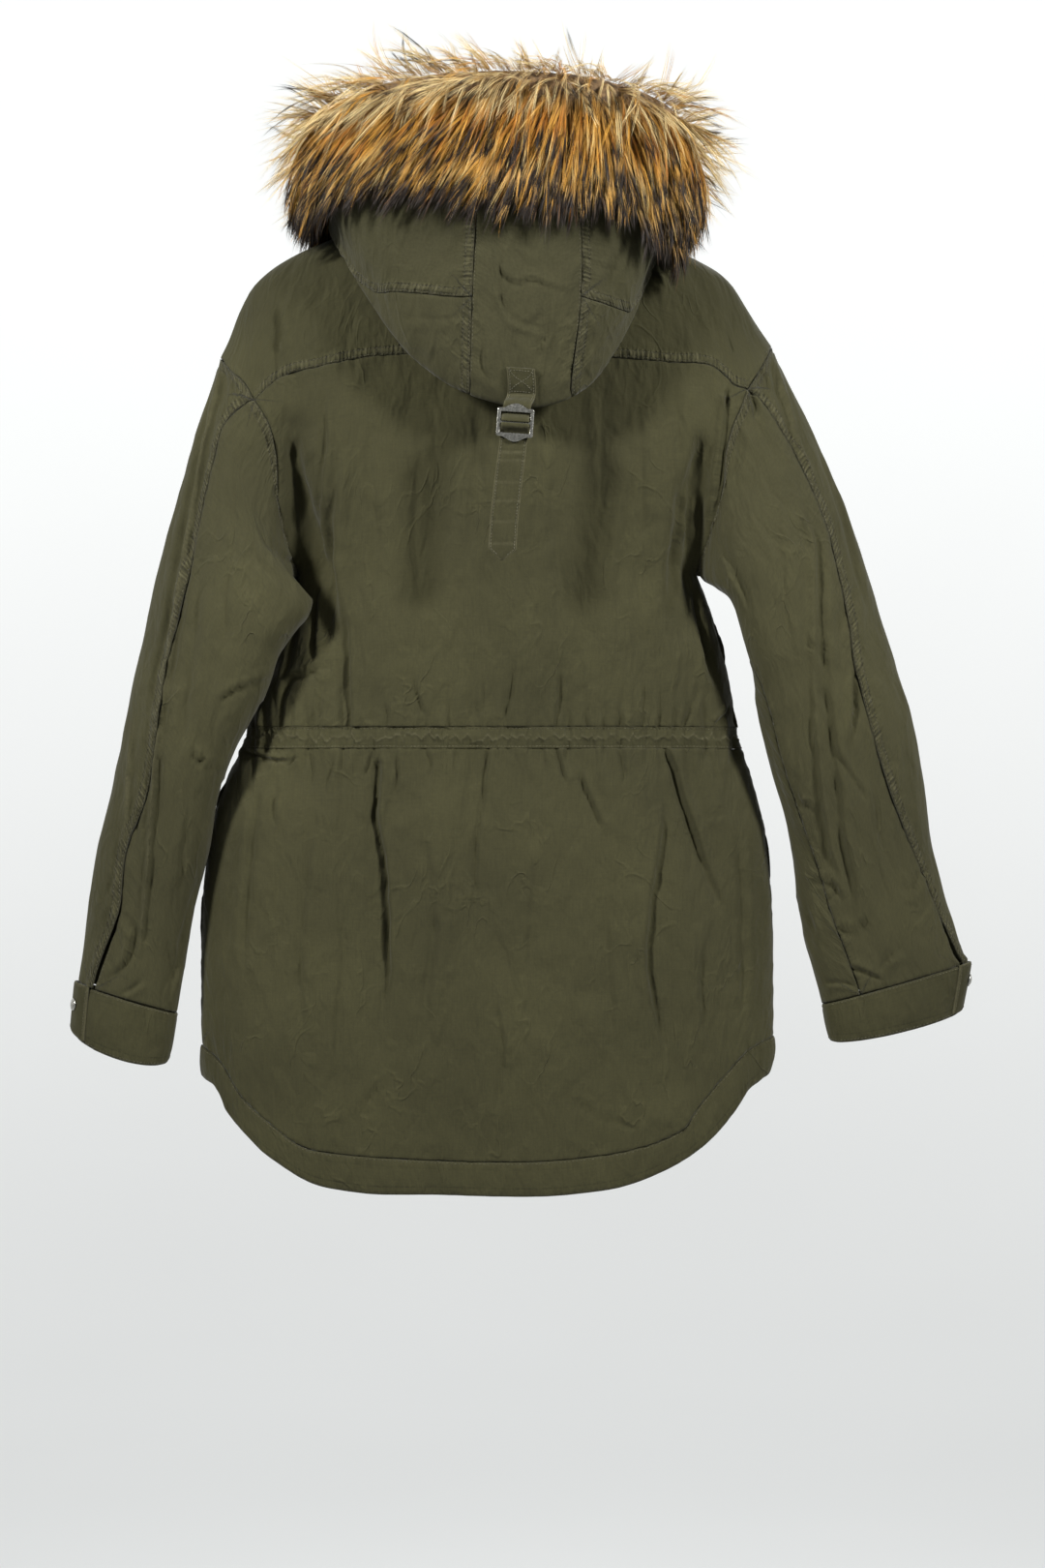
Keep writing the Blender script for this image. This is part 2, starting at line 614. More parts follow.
def hood_section(v):
    """The section's own points from the neck seam to the rim, and their places."""
    v = np.asarray(v, float)
    neck = NECK_RING(cubic(column(HOOD, "v", HOOD_COLUMNS),
                           column(HOOD, "neck", HOOD_COLUMNS), v))
    fold = np.stack([hood_column(n, v) for n in ("fx", "fy", "fz")], -1)
    rim = np.stack([hood_column(n, v) for n in ("rx", "ry", "rz")], -1)
    k = np.clip(hood_column("fold", v), 0, 1)[..., None]
    up = np.array([0, 0, 1.0])
    middle = np.array([0, 0, 0.0])
    out = neck - middle
    out[..., 2] = 0
    out /= np.maximum(np.linalg.norm(out, axis=-1, keepdims=True), 1e-9)
    base = neck + up * 4.2 - out * 3.7
    stand = neck + up * (7.5 + 2 * k) + out * (0.5 + 5.5 * k)
    d1 = fold - stand
    reach = np.linalg.norm(d1, axis=-1, keepdims=True)
    d1 = d1 / reach
    d2 = rim - fold
    length = np.linalg.norm(d2, axis=-1, keepdims=True)
    d2 = d2 / length
    turn = np.clip(-np.sum(d1 * d2, -1, keepdims=True), 0, 1) * k
    toward = np.array([0, 1.0, 0])
    f_in = fold - d1 * np.minimum(9, 0.35 * reach) + toward * 7.5 * turn
    f_out = fold + d2 * 9 + (-toward) * 7.5 * turn
    bulge = HOOD_BULGE * k * np.clip(length / 250, 0.2, 1)
    outward = rim * np.array([1, 1, 0])
    outward /= np.maximum(np.linalg.norm(outward, axis=-1, keepdims=True), 1e-9)
    b1 = f_out + (rim - f_out) * 0.30 + outward * bulge
    b2 = f_out + (rim - f_out) * 0.66 + outward * bulge * 0.7
    half = stand + (f_in - stand) * 0.5 + up * 5 * k
    points = [base, stand, half, f_in, fold, f_out, b1, b2, rim]
    places = [0.0, 0.05, 0.20, 0.37, FOLD_T, 0.47, 0.64, 0.82, 1.0]
    return points, places


def hood_surface(v, t):
    """A point of the hood: v round it, t from the neck seam to the rim."""
    v, t = np.broadcast_arrays(np.asarray(v, float), np.asarray(t, float))
    points, places = hood_section(v)
    p = np.stack(points, 0)
    x = np.array(places)
    h = np.diff(x)
    d = np.diff(p, axis=0) / h[:, None].reshape((-1,) + (1,) * (p.ndim - 1))
    hh = h.reshape((-1,) + (1,) * (p.ndim - 1))
    m = np.empty_like(p)
    m[0], m[-1] = d[0], d[-1]
    m[1:-1] = (d[:-1] * hh[1:] + d[1:] * hh[:-1]) / (hh[1:] + hh[:-1])
    i = np.clip(np.searchsorted(x, t, side="right") - 1, 0, len(x) - 2)
    w = ((t - x[i]) / h[i])[..., None]
    hi = h[i][..., None]
    pick = lambda a, j: np.take_along_axis(a, j[None, ..., None], 0)[0]
    return (
        pick(p, i) * (1 + 2 * w) * (1 - w) ** 2
        + pick(m, i) * hi * w * (1 - w) ** 2
        + pick(p, i + 1) * w * w * (3 - 2 * w)
        + pick(m, i + 1) * hi * w * w * (w - 1)
    )


def hood_step(v, t, length):
    """How much v changes over a length in mm, at (v, t)."""
    e = 0.002
    d = hood_surface(np.clip(v + e, 0, 1), t) - hood_surface(np.clip(v - e, 0, 1), t)
    return length / np.maximum(np.linalg.norm(d, axis=-1) / (2 * e), 60)


def hood_rise(v, t, length):
    """How much t changes over a length in mm, at (v, t)."""
    e = 0.004
    d = hood_surface(v, np.clip(t + e, 0, 1)) - hood_surface(v, np.clip(t - e, 0, 1))
    return length / np.maximum(np.linalg.norm(d, axis=-1) / (2 * e), 10)


def hood_normal(v, t):
    e = 0.004
    a = hood_surface(np.clip(v + e, 0, 1), t) - hood_surface(np.clip(v - e, 0, 1), t)
    b = hood_surface(v, np.clip(t + e, 0, 1)) - hood_surface(v, np.clip(t - e, 0, 1))
    n = np.cross(a, b)
    return n / np.linalg.norm(n, axis=-1, keepdims=True)


# ================================================================ strap and buckle
def hood_at(x, z):
    """The outer layer's point that has this x and z, and its v and t."""
    v, t = 0.54, 0.55
    for _ in range(30):
        p = hood_surface(v, t)
        e = 0.002
        dv = (hood_surface(v + e, t) - p) / e
        dt = (hood_surface(v, t + e) - p) / e
        m = np.array([[dv[0], dt[0]], [dv[2], dt[2]]])
        step = np.linalg.solve(m, np.array([x - p[0], z - p[2]]))
        step = np.clip(step, -0.04, 0.04)
        v, t = v + step[0], float(np.clip(t + step[1], FOLD_T + 0.012, 0.98))
    return hood_surface(v, t), v, t


# ================================================================ hanger
# ================================================================ all of it


# ================================================================ creases (mm)
# by hand from the photo: depth, width, side that puffs up, how much of its length the
# crease takes to start and to end, then its points x, z
CREASES = {
    "back": [
        (2.0, 2.2, 0.4, 0.5, 0.1, [(-189, -493), (-190, -518), (-189, -537)]),
        (1.6, 2.0, -0.4, 0.5, 0.1, [(-151, -488), (-157, -515), (-156, -522), (-160, -537)]),
        (3.6, 3.4, 0.6, 0.7, 0.05, [(-134, -404), (-131, -446), (-130, -488), (-128, -537)]),
        (2.2, 2.4, 0.5, 0.6, 0.1, [(-70, -480), (-69, -500), (-65, -518)]),
        (1.8, 2.4, -0.4, 0.6, 0.1, [(-10, -480), (-10, -505), (-10, -531)]),
        (2.2, 2.6, 0.5, 0.6, 0.1, [(18, -455), (15, -497), (12, -512), (8, -532)]),
        (2.2, 2.4, -0.5, 0.6, 0.1, [(60, -472), (58, -501), (55, -532)]),
        (2.0, 2.2, 0.4, 0.6, 0.1, [(136, -472), (134, -505), (131, -534)]),
        (1.6, 1.8, -0.4, 0.6, 0.1, [(148, -480), (147, -505), (146, -533)]),
        (2.6, 2.8, 0.5, 0.6, 0.1, [(184, -480), (181, -500), (174, -518), (168, -531)]),
        (2.4, 2.6, -0.5, 0.5, 0.1, [(216, -505), (209, -516), (197, -528)]),
        (1.4, 2.0, 0.4, 0.5, 0.1, [(-98, -501), (-96, -518), (-97, -536)]),
        (1.4, 2.0, -0.4, 0.5, 0.1, [(-43, -499), (-40, -516), (-42, -536)]),
        (1.4, 2.0, 0.4, 0.5, 0.1, [(86, -504), (82, -521), (85, -536)]),
        (1.2, 1.8, 0.4, 0.5, 0.1, [(109, -507), (112, -522), (108, -536)]),
        (2.6, 3.0, 0.7, 0.3, 0.4, [
            (-151, -225), (-150, -276), (-153, -320), (-156, -370), (-152, -404)]),
        (6.0, 9.0, 0.3, 0.2, 0.3, [
            (-180, -269), (-173, -307), (-165, -341), (-156, -374), (-150, -412)]),
        (5.0, 8.0, 0.3, 0.3, 0.4, [(-146, -324), (-147, -370), (-146, -421), (-149, -472)]),
        (4.0, 3.2, 0.6, 0.2, 0.3, [(-157, -404), (-161, -438), (-162, -473)]),
        (3.4, 3.0, -0.7, 0.2, 0.4, [
            (-150, -475), (-164, -482), (-181, -488), (-189, -502), (-190, -518)]),
        (5.5, 3.0, -0.8, 0.1, 0.3, [
            (206, -235), (205, -269), (201, -303), (198, -333), (195, -345)]),
        (4.5, 7.0, -0.4, 0.3, 0.3, [
            (188, -261), (179, -290), (168, -320), (162, -353), (158, -396), (155, -438)]),
        (-2.4, 3.0, 0.6, 0.3, 0.3, [
            (179, -282), (173, -307), (169, -336), (169, -366), (172, -387)]),
        (4.0, 6.0, 0.4, 0.3, 0.4, [(183, -320), (184, -353), (179, -383)]),
        (5.0, 5.0, -0.5, 0.2, 0.4, [(179, -404), (184, -438), (192, -472), (200, -499)]),
        (1.8, 6.0, 0.6, 0.3, 0.6, [(129, -235), (130, -286), (131, -345), (126, -404)]),
        (1.0, 5.0, -0.6, 0.3, 0.6, [(94, -235), (95, -294), (93, -358)]),
        (2.2, 6.0, 0.6, 0.3, 0.6, [(163, -228), (163, -286), (161, -353), (155, -412)]),
        (1.0, 6.0, 0.5, 0.4, 0.6, [
            (-68, -235), (-66, -294), (-70, -353), (-67, -421), (-70, -480)]),
        (2.2, 8.0, 0.6, 0.2, 0.3, [(-14, -248), (-16, -303), (-19, -353), (-21, -401)]),
        (1.8, 7.0, -0.6, 0.2, 0.3, [(38, -252), (38, -303), (36, -370)]),
        (1.2, 5.0, -0.6, 0.4, 0.5, [(122, -261), (118, -336), (109, -404), (116, -480)]),
        (2.0, 9.0, 0.5, 0.5, 0.5, [(-9, -252), (-10, -320), (-5, -396), (-9, -472)]),
        (1.8, 9.0, -0.5, 0.5, 0.5, [(54, -261), (52, -336), (59, -421), (56, -480)]),
        (2.0, 7.0, 0.6, 0.4, 0.6, [(-106, -231), (-110, -294), (-105, -370), (-110, -438)]),
        (2.6, 5.0, 0.7, 0.3, 0.5, [
            (-134, -277), (-142, -320), (-146, -370), (-140, -421), (-136, -480)]),
        (2.0, 5.0, -0.6, 0.5, 0.5, [(-178, -404), (-180, -438), (-186, -480), (-194, -518)]),
        (2.6, 5.5, -0.6, 0.3, 0.6, [
            (179, -269), (172, -336), (170, -396), (179, -455), (182, -505)]),
        (1.8, 5.0, 0.5, 0.5, 0.5, [(204, -404), (207, -438), (212, -480), (216, -514)]),
    ],
    "yoke": [
        (3.4, 3.0, 0.8, 0.3, 0.2, [
            (-198, -148), (-192, -161), (-190, -175), (-194, -197), (-194, -221)]),
        (3.6, 6.0, 0.5, 0.3, 0.1, [(-190, -184), (-189, -206), (-187, -227)]),
        (1.6, 1.8, -0.6, 0.4, 0.5, [(-182, -148), (-178, -161), (-176, -174)]),
        (1.8, 2.0, 0.6, 0.4, 0.5, [(-154, -142), (-152, -158), (-154, -174)]),
        (1.4, 2.0, -0.5, 0.4, 0.4, [(-142, -184), (-138, -197), (-132, -212)]),
        (2.0, 2.4, 0.6, 0.4, 0.5, [(142, -122), (144, -139), (143, -156)]),
        (1.5, 2.4, -0.6, 0.4, 0.4, [(-210, -180), (-212, -199), (-211, -217)]),
        (1.2, 2.4, 0.5, 0.5, 0.4, [(175, -146), (180, -171), (179, -199)]),
        (1.4, 2.6, -0.6, 0.5, 0.4, [(206, -161), (210, -187), (215, -214)]),
        (1.1, 2.4, 0.5, 0.5, 0.4, [(153, -164), (162, -188), (158, -207)]),
        (1.2, 2.6, 0.5, 0.5, 0.4, [(-165, -171), (-161, -188), (-165, -207)]),
    ],
    "skirt": [
        (2.0, 3.0, 0.6, 0.15, 0.5, [
            (-5, -545), (-8, -568), (-11, -600), (-16, -632), (-17, -674), (-16, -717)]),
        (4.2, 4.2, 0.8, 0.08, 0.4, [
            (-102, -564), (-104, -590), (-105, -616), (-99, -640), (-95, -688), (-94, -742),
            (-102, -799)]),
        (1.2, 2.4, -0.5, 0.3, 0.5, [(-105, -616), (-89, -614), (-70, -606), (-49, -592)]),
        (1.8, 2.2, 0.5, 0.3, 0.5, [(-140, -550), (-147, -576), (-155, -592)]),
        (2.0, 2.4, 0.5, 0.3, 0.5, [(-87, -553), (-86, -574), (-91, -596)]),
        (1.6, 2.0, -0.5, 0.3, 0.5, [(-110, -553), (-112, -564), (-114, -576)]),
        (1.6, 2.4, 0.5, 0.4, 0.5, [(-196, -590), (-196, -605), (-195, -620)]),
        (2.0, 2.2, 0.7, 0.2, 0.4, [
            (-226, -551), (-213, -555), (-200, -559), (-186, -560), (-177, -558)]),
        (1.8, 2.0, 0.5, 0.3, 0.6, [(-176, -557), (-181, -563), (-187, -568)]),
        (2.0, 2.6, 0.6, 0.15, 0.5, [(56, -548), (60, -566), (66, -586)]),
        (2.2, 3.0, 0.6, 0.3, 0.5, [(76, -569), (80, -584), (88, -605), (98, -628)]),
        (3.6, 4.2, 0.7, 0.1, 0.4, [
            (153, -548), (163, -583), (174, -618), (188, -657), (203, -699)]),
        (3.0, 4.6, -0.7, 0.3, 0.3, [
            (150, -582), (152, -605), (151, -628), (141, -688), (137, -742), (145, -787),
            (156, -836)]),
        (1.6, 2.6, 0.5, 0.4, 0.5, [(184, -608), (200, -605), (217, -600)]),
        (1.8, 3.0, 0.5, 0.3, 0.3, [(-1, -765), (8, -816), (6, -845), (2, -873)]),
        (1.2, 2.4, 0.5, 0.3, 0.5, [(8, -816), (18, -823), (30, -832)]),
        (2.0, 3.2, -0.6, 0.4, 0.3, [(-86, -839), (-106, -854), (-125, -873)]),
        (1.8, 3.2, 0.6, 0.4, 0.3, [(59, -857), (92, -874), (129, -889)]),
        (2.0, 6.0, 0.6, 0.4, 0.4, [
            (-54, -573), (-60, -640), (-54, -708), (-60, -784), (-51, -852)]),
        (1.8, 7.0, -0.6, 0.4, 0.4, [(32, -564), (38, -640), (32, -725), (38, -809)]),
        (1.8, 6.0, 0.6, 0.4, 0.4, [(106, -657), (99, -725), (104, -792), (97, -852)]),
        (2.2, 5.0, -0.6, 0.3, 0.5, [(-210, -573), (-216, -632), (-222, -700), (-224, -776)]),
        (2.0, 6.0, 0.6, 0.3, 0.4, [(-162, -615), (-169, -683), (-173, -750), (-168, -818)]),
        (1.6, 5.0, -0.6, 0.4, 0.4, [(-140, -657), (-134, -725), (-139, -801), (-134, -860)]),
        (2.2, 5.0, 0.6, 0.3, 0.4, [(217, -624), (221, -683), (222, -750), (220, -801)]),
        (1.8, 5.0, -0.6, 0.3, 0.5, [(190, -708), (184, -767), (190, -818)]),
        (1.5, 2.2, 0.5, 0.2, 0.6, [(-60, -551), (-56, -566), (-59, -583)]),
        (1.5, 2.2, -0.5, 0.2, 0.6, [(-34, -551), (-36, -570), (-32, -586)]),
        (1.4, 2.2, 0.5, 0.2, 0.6, [(25, -551), (28, -569), (24, -588)]),
        (1.5, 2.2, -0.5, 0.2, 0.6, [(109, -551), (114, -573), (111, -594)]),
        (1.5, 2.2, 0.5, 0.2, 0.6, [(190, -551), (197, -570), (202, -590)]),
        (1.3, 2.2, 0.5, 0.2, 0.6, [(-165, -553), (-162, -573), (-166, -590)]),
    ],
    "hood": [
        (1.9, 2.2, 0.8, 0.3, 0.2, [
            (5, -125), (8, -139), (16, -147), (36, -146), (50, -152), (64, -155)]),
        (1.5, 2.0, -0.7, 0.2, 0.3, [(9, -125), (6, -137), (6, -152)]),
        (1.8, 2.2, -0.8, 0.2, 0.3, [(6, -152), (8, -166), (16, -178), (32, -185), (47, -191)]),
        (2.0, 2.2, 0.8, 0.3, 0.4, [(50, -151), (48, -171), (47, -190), (40, -207), (42, -223)]),
        (1.3, 2.0, 0.6, 0.3, 0.4, [(32, -186), (38, -178), (48, -171)]),
        (1.6, 2.4, 0.6, 0.4, 0.4, [(54, -80), (60, -92), (67, -104)]),
        (1.6, 2.0, 0.6, 0.3, 0.4, [(69, -212), (85, -213), (98, -215)]),
        (1.4, 2.0, -0.5, 0.4, 0.4, [(96, -187), (101, -197), (105, -209)]),
        (1.5, 2.8, 0.6, 0.4, 0.4, [(-70, -120), (-80, -132), (-90, -145)]),
        (1.4, 2.6, -0.6, 0.3, 0.4, [(-89, -171), (-68, -176), (-47, -178), (-24, -176)]),
        (1.5, 3.2, 0.5, 0.4, 0.4, [(-9, -92), (8, -95), (29, -98), (57, -106)]),
        (1.3, 3.4, 0.6, 0.4, 0.4, [(-114, -120), (-103, -144), (-91, -162)]),
        (1.2, 2.6, -0.5, 0.4, 0.4, [(-72, -190), (-51, -196), (-27, -194)]),
        (1.5, 3.4, -0.6, 0.4, 0.4, [(109, -114), (101, -135), (99, -152)]),
        (1.4, 2.6, 0.6, 0.4, 0.4, [(-9, -194), (-10, -213), (-4, -232)]),
        (1.3, 2.4, 0.6, 0.4, 0.4, [(79, -178), (86, -190), (84, -204)]),
        (1.2, 2.2, -0.6, 0.4, 0.4, [(22, -110), (29, -120), (44, -125)]),
        (1.2, 2.4, 0.6, 0.4, 0.4, [(14, -194), (19, -204), (15, -214)]),
        (1.1, 2.2, 0.5, 0.4, 0.4, [(80, -127), (94, -132), (109, -134)]),
    ],
    "sleeve_left": [
        (-2.6, 3.0, 0.8, 0.1, 0.2, [
            (-243, -209), (-255, -254), (-263, -293), (-269, -332), (-275, -375),
            (-279, -409), (-284, -444), (-290, -478), (-296, -517), (-299, -556),
            (-304, -607), (-307, -642), (-310, -676), (-314, -711), (-317, -745)]),
        (2.2, 3.6, -0.5, 0.2, 0.3, [
            (-248, -228), (-262, -271), (-270, -314), (-278, -357), (-284, -400),
            (-291, -444), (-300, -487), (-306, -525)]),
        (-1.6, 2.8, 0.5, 0.3, 0.4, [
            (-320, -517), (-325, -564), (-327, -607), (-331, -642), (-335, -663)]),
        (1.6, 2.4, 0.5, 0.2, 0.5, [(-234, -213), (-239, -232), (-243, -263)]),
        (1.4, 2.2, -0.5, 0.2, 0.5, [(-240, -206), (-247, -228), (-252, -254)]),
        (2.0, 2.6, 0.6, 0.3, 0.4, [(-206, -263), (-198, -288), (-194, -314)]),
        (3.0, 3.2, 0.6, 0.3, 0.2, [(-196, -313), (-190, -336), (-186, -357), (-181, -381)]),
        (2.0, 2.8, -0.5, 0.2, 0.4, [(-180, -383), (-190, -379), (-201, -368), (-208, -356)]),
        (1.8, 3.2, 0.5, 0.3, 0.4, [(-214, -366), (-206, -388), (-192, -400), (-182, -409)]),
        (-1.8, 2.6, 0.5, 0.2, 0.4, [(-180, -381), (-173, -380), (-165, -378)]),
        (2.4, 2.4, 0.7, 0.3, 0.1, [(-246, -511), (-229, -499), (-214, -492), (-200, -488)]),
        (2.6, 2.4, 0.8, 0.4, 0.1, [(-271, -551), (-264, -558), (-255, -564), (-243, -570)]),
        (1.6, 4.0, 0.5, 0.4, 0.4, [(-228, -366), (-237, -418), (-235, -469)]),
        (1.8, 6.0, 0.5, 0.4, 0.4, [(-256, -366), (-263, -435), (-271, -504), (-280, -573)]),
        (1.4, 4.0, -0.5, 0.4, 0.4, [(-270, -599), (-277, -642), (-280, -685)]),
        (2.0, 3.4, 0.6, 0.3, 0.3, [
            (-264, -663), (-272, -693), (-280, -724), (-287, -754), (-294, -780)]),
        (2.6, 4.0, -0.6, 0.3, 0.4, [
            (-330, -698), (-320, -712), (-323, -732), (-335, -749), (-349, -755)]),
        (1.6, 3.0, 0.5, 0.4, 0.4, [(-311, -754), (-321, -762), (-335, -771)]),
        (1.4, 3.0, 0.5, 0.4, 0.4, [(-336, -659), (-345, -680), (-353, -698)]),
        (1.4, 2.4, -0.5, 0.3, 0.4, [(-305, -573), (-311, -594), (-317, -616), (-320, -642)]),
        (1.6, 3.6, 0.5, 0.4, 0.4, [(-294, -711), (-289, -745), (-296, -771)]),
    ],
    "sleeve_right": [
        (-2.4, 3.0, -0.8, 0.2, 0.3, [
            (249, -201), (256, -224), (264, -250), (269, -273), (276, -292), (288, -314)]),
        (1.8, 3.4, 0.5, 0.3, 0.3, [
            (282, -263), (297, -300), (311, -344), (321, -388), (332, -428)]),
        (-2.6, 4.0, -0.7, 0.2, 0.2, [
            (273, -332), (280, -366), (282, -418), (282, -487), (286, -538), (292, -590),
            (297, -624), (303, -650), (311, -666)]),
        (3.2, 5.0, 0.6, 0.2, 0.2, [
            (282, -349), (288, -383), (290, -435), (293, -487), (298, -538), (303, -581),
            (308, -624), (313, -655), (317, -672), (318, -693), (314, -706)]),
        (-1.8, 2.4, 0.6, 0.2, 0.4, [(269, -336), (274, -349), (278, -359)]),
        (3.0, 2.6, -0.7, 0.2, 0.4, [
            (320, -478), (319, -504), (318, -525), (314, -543), (313, -556)]),
        (2.6, 3.0, 0.7, 0.3, 0.2, [
            (274, -673), (282, -669), (292, -668), (301, -671), (307, -678), (313, -681)]),
        (2.8, 3.0, 0.7, 0.2, 0.4, [
            (303, -718), (312, -712), (321, -710), (329, -708), (334, -700), (340, -698)]),
        (2.4, 3.4, -0.6, 0.4, 0.2, [(361, -675), (371, -677), (378, -666), (387, -654)]),
        (2.2, 3.2, 0.6, 0.3, 0.3, [(314, -745), (326, -748), (338, -754), (345, -757)]),
        (2.0, 3.6, -0.6, 0.3, 0.4, [(345, -754), (347, -741), (356, -733), (370, -730)]),
        (1.8, 2.8, 0.6, 0.3, 0.4, [(266, -592), (275, -600), (287, -605)]),
        (1.6, 2.8, 0.6, 0.3, 0.4, [(296, -538), (309, -564), (323, -583), (337, -599)]),
        (2.0, 3.4, -0.6, 0.3, 0.3, [(202, -366), (211, -392), (220, -409), (228, -435)]),
        (2.2, 2.8, 0.6, 0.1, 0.4, [(228, -230), (232, -245), (231, -259)]),
        (2.6, 4.0, 0.6, 0.3, 0.3, [(216, -263), (220, -280), (216, -301), (211, -314)]),
        (1.6, 2.2, 0.5, 0.3, 0.3, [(235, -209), (242, -221), (247, -232)]),
        (1.8, 4.0, -0.6, 0.3, 0.3, [(240, -525), (246, -556), (256, -590), (266, -624)]),
        (1.8, 3.0, 0.6, 0.3, 0.3, [(280, -693), (285, -706), (282, -724)]),
        (1.6, 5.0, 0.5, 0.4, 0.4, [(249, -332), (254, -392), (259, -444), (266, -487)]),
        (1.6, 5.0, -0.5, 0.4, 0.4, [(335, -573), (342, -624), (349, -659)]),
        (1.8, 2.6, -0.5, 0.3, 0.3, [(294, -760), (308, -759), (323, -761)]),
        (1.6, 2.4, 0.5, 0.3, 0.4, [(340, -504), (337, -525), (329, -543), (325, -560)]),
    ],
    "front": [
        (2.4, 6.0, 0.6, 0.3, 0.5, [(165, -223), (170, -284), (163, -363), (168, -433)]),
        (2.2, 7.0, -0.6, 0.3, 0.5, [(112, -240), (107, -310), (114, -398), (109, -476)]),
        (2.4, 6.0, 0.6, 0.3, 0.5, [(-62, -232), (-66, -310), (-59, -398), (-64, -476)]),
        (2.2, 6.0, -0.6, 0.3, 0.5, [(-124, -223), (-118, -293), (-125, -363), (-122, -433)]),
        (2.0, 4.0, 0.5, 0.5, 0.1, [(-28, -433), (-24, -485), (-28, -531)]),
        (2.0, 4.0, -0.5, 0.5, 0.1, [(69, -433), (65, -485), (69, -531)]),
        (2.6, 3.4, 0.5, 0.6, 0.1, [(-159, -442), (-155, -485), (-160, -531)]),
        (2.6, 3.4, -0.5, 0.6, 0.1, [(156, -442), (154, -485), (160, -531)]),
    ],
    "skirt_front": [
        (2.8, 4.6, 0.7, 0.1, 0.4, [(-132, -551), (-136, -625), (-129, -704), (-134, -791)]),
        (2.4, 5.0, -0.6, 0.1, 0.4, [(-71, -551), (-64, -625), (-71, -704), (-66, -800)]),
        (2.8, 4.6, -0.7, 0.1, 0.4, [(137, -551), (144, -625), (137, -704), (142, -800)]),
        (2.4, 5.0, 0.6, 0.1, 0.4, [(77, -551), (72, -643), (79, -730), (74, -817)]),
        (2.2, 4.6, 0.6, 0.2, 0.4, [(-194, -564), (-201, -643), (-195, -721), (-199, -791)]),
        (2.2, 4.6, -0.6, 0.2, 0.4, [(200, -564), (207, -643), (200, -721), (205, -791)]),
        (1.6, 2.6, 0.5, 0.4, 0.4, [(-22, -555), (-19, -599), (-24, -643)]),
        (1.6, 2.6, -0.5, 0.4, 0.4, [(39, -555), (34, -599), (39, -643)]),
    ],
}


# ================================================================ noise and creases
def rumple(s, pitch, seed):
    """Smooth noise along a line, from -1 to 1."""
    s = np.asarray(s, float) / pitch
    i = np.floor(s).astype(int)
    f = s - i
    f = f * f * (3 - 2 * f)
    table = np.random.RandomState(seed).uniform(-1, 1, 4096)
    return table[i % 4096] * (1 - f) + table[(i + 1) % 4096] * f


def billow(x, z, size, seed):
    """Smooth noise over a sheet, from -1 to 1."""
    x, z = np.asarray(x, float) / size, np.asarray(z, float) / size
    i, j = np.floor(x).astype(int), np.floor(z).astype(int)
    fx, fz = x - i, z - j
    fx = fx * fx * fx * (fx * (fx * 6 - 15) + 10)
    fz = fz * fz * fz * (fz * (fz * 6 - 15) + 10)
    table = np.random.RandomState(seed).uniform(-1, 1, (97, 97))
    at = lambda a, b: table[a % 97, b % 97]
    return (
        (at(i, j) * (1 - fx) + at(i + 1, j) * fx) * (1 - fz)
        + (at(i, j + 1) * (1 - fx) + at(i + 1, j + 1) * fx) * fz
    )


def ease(a):
    a = np.clip(a, 0, 1)
    return a * a * (3 - 2 * a)


def along(points, x, z):
    """Signed distance of each (x, z) from a broken line, and its share of the length."""
    p = np.asarray(points, float)
    seg = np.maximum(np.linalg.norm(np.diff(p, axis=0), axis=1), 1e-6)
    cum = np.r_[0, np.cumsum(seg)]
    best = np.full(x.shape, 1e9)
    signed, share = np.zeros(x.shape), np.zeros(x.shape)
    for k in range(len(p) - 1):
        (ax, az), (bx, bz) = p[k], p[k + 1]
        dx, dz = bx - ax, bz - az
        t = np.clip(((x - ax) * dx + (z - az) * dz) / seg[k] ** 2, 0, 1)
        qx, qz = x - ax - t * dx, z - az - t * dz
        d = np.hypot(qx, qz)
        near = d < best
        best = np.where(near, d, best)
        signed = np.where(near, np.where(dx * qz - dz * qx >= 0, d, -d), signed)
        share = np.where(near, (cum[k] + t * seg[k]) / cum[-1], share)
    return signed, share


def creases(rows, x, z):
    """Height of the creases at (x, z): a narrow trough, with a puff on its lean side."""
    total = np.zeros(x.shape)
    for deep, width, lean, start, end, points in rows:
        p = np.asarray(points, float)
        far = 5 * width
        near = (
            (x > p[:, 0].min() - far) & (x < p[:, 0].max() + far)
            & (z > p[:, 1].min() - far) & (z < p[:, 1].max() + far)
        )
        if not near.any():
            continue
        smooth = Run(p)(np.linspace(0, 1, 5 * len(p))) if len(p) > 2 else p
        d, s = along(smooth, x[near], z[near])
        far_along = s * np.linalg.norm(np.diff(p, axis=0), axis=1).sum() + 40 * width
        k = int(abs(p[0, 0]) + abs(p[-1, 1])) % 97
        u = (d + 0.8 * rumple(far_along, 10.0, 500 + k)) / (0.78 * width)
        grow = ease((s + 0.04) / max(start, 0.01)) * ease((1.04 - s) / max(end, 0.01))
        grow = grow * (0.9 + 0.32 * rumple(far_along, 15.0, 700 + k))
        side = 1 if lean >= 0 else -1
        shape = -0.75 * np.exp(-1.3 * u * u)
        shape += abs(lean) * 0.6 * np.exp(-(((u * side - 1.9) / 1.35) ** 2))
        # the side that puffs up rises steeply from the trough, and dies away slowly
        v = u * side
        steep = np.where(v > 0, (1 - np.exp(-((v / 0.75) ** 2))) * np.exp(-v / 2.0),
                         -0.25 * np.exp(-((v / 1.1) ** 2)))
        shape += 0.9 * abs(lean) * steep
        total[near] += 1.5 * deep * grow * shape
    return total


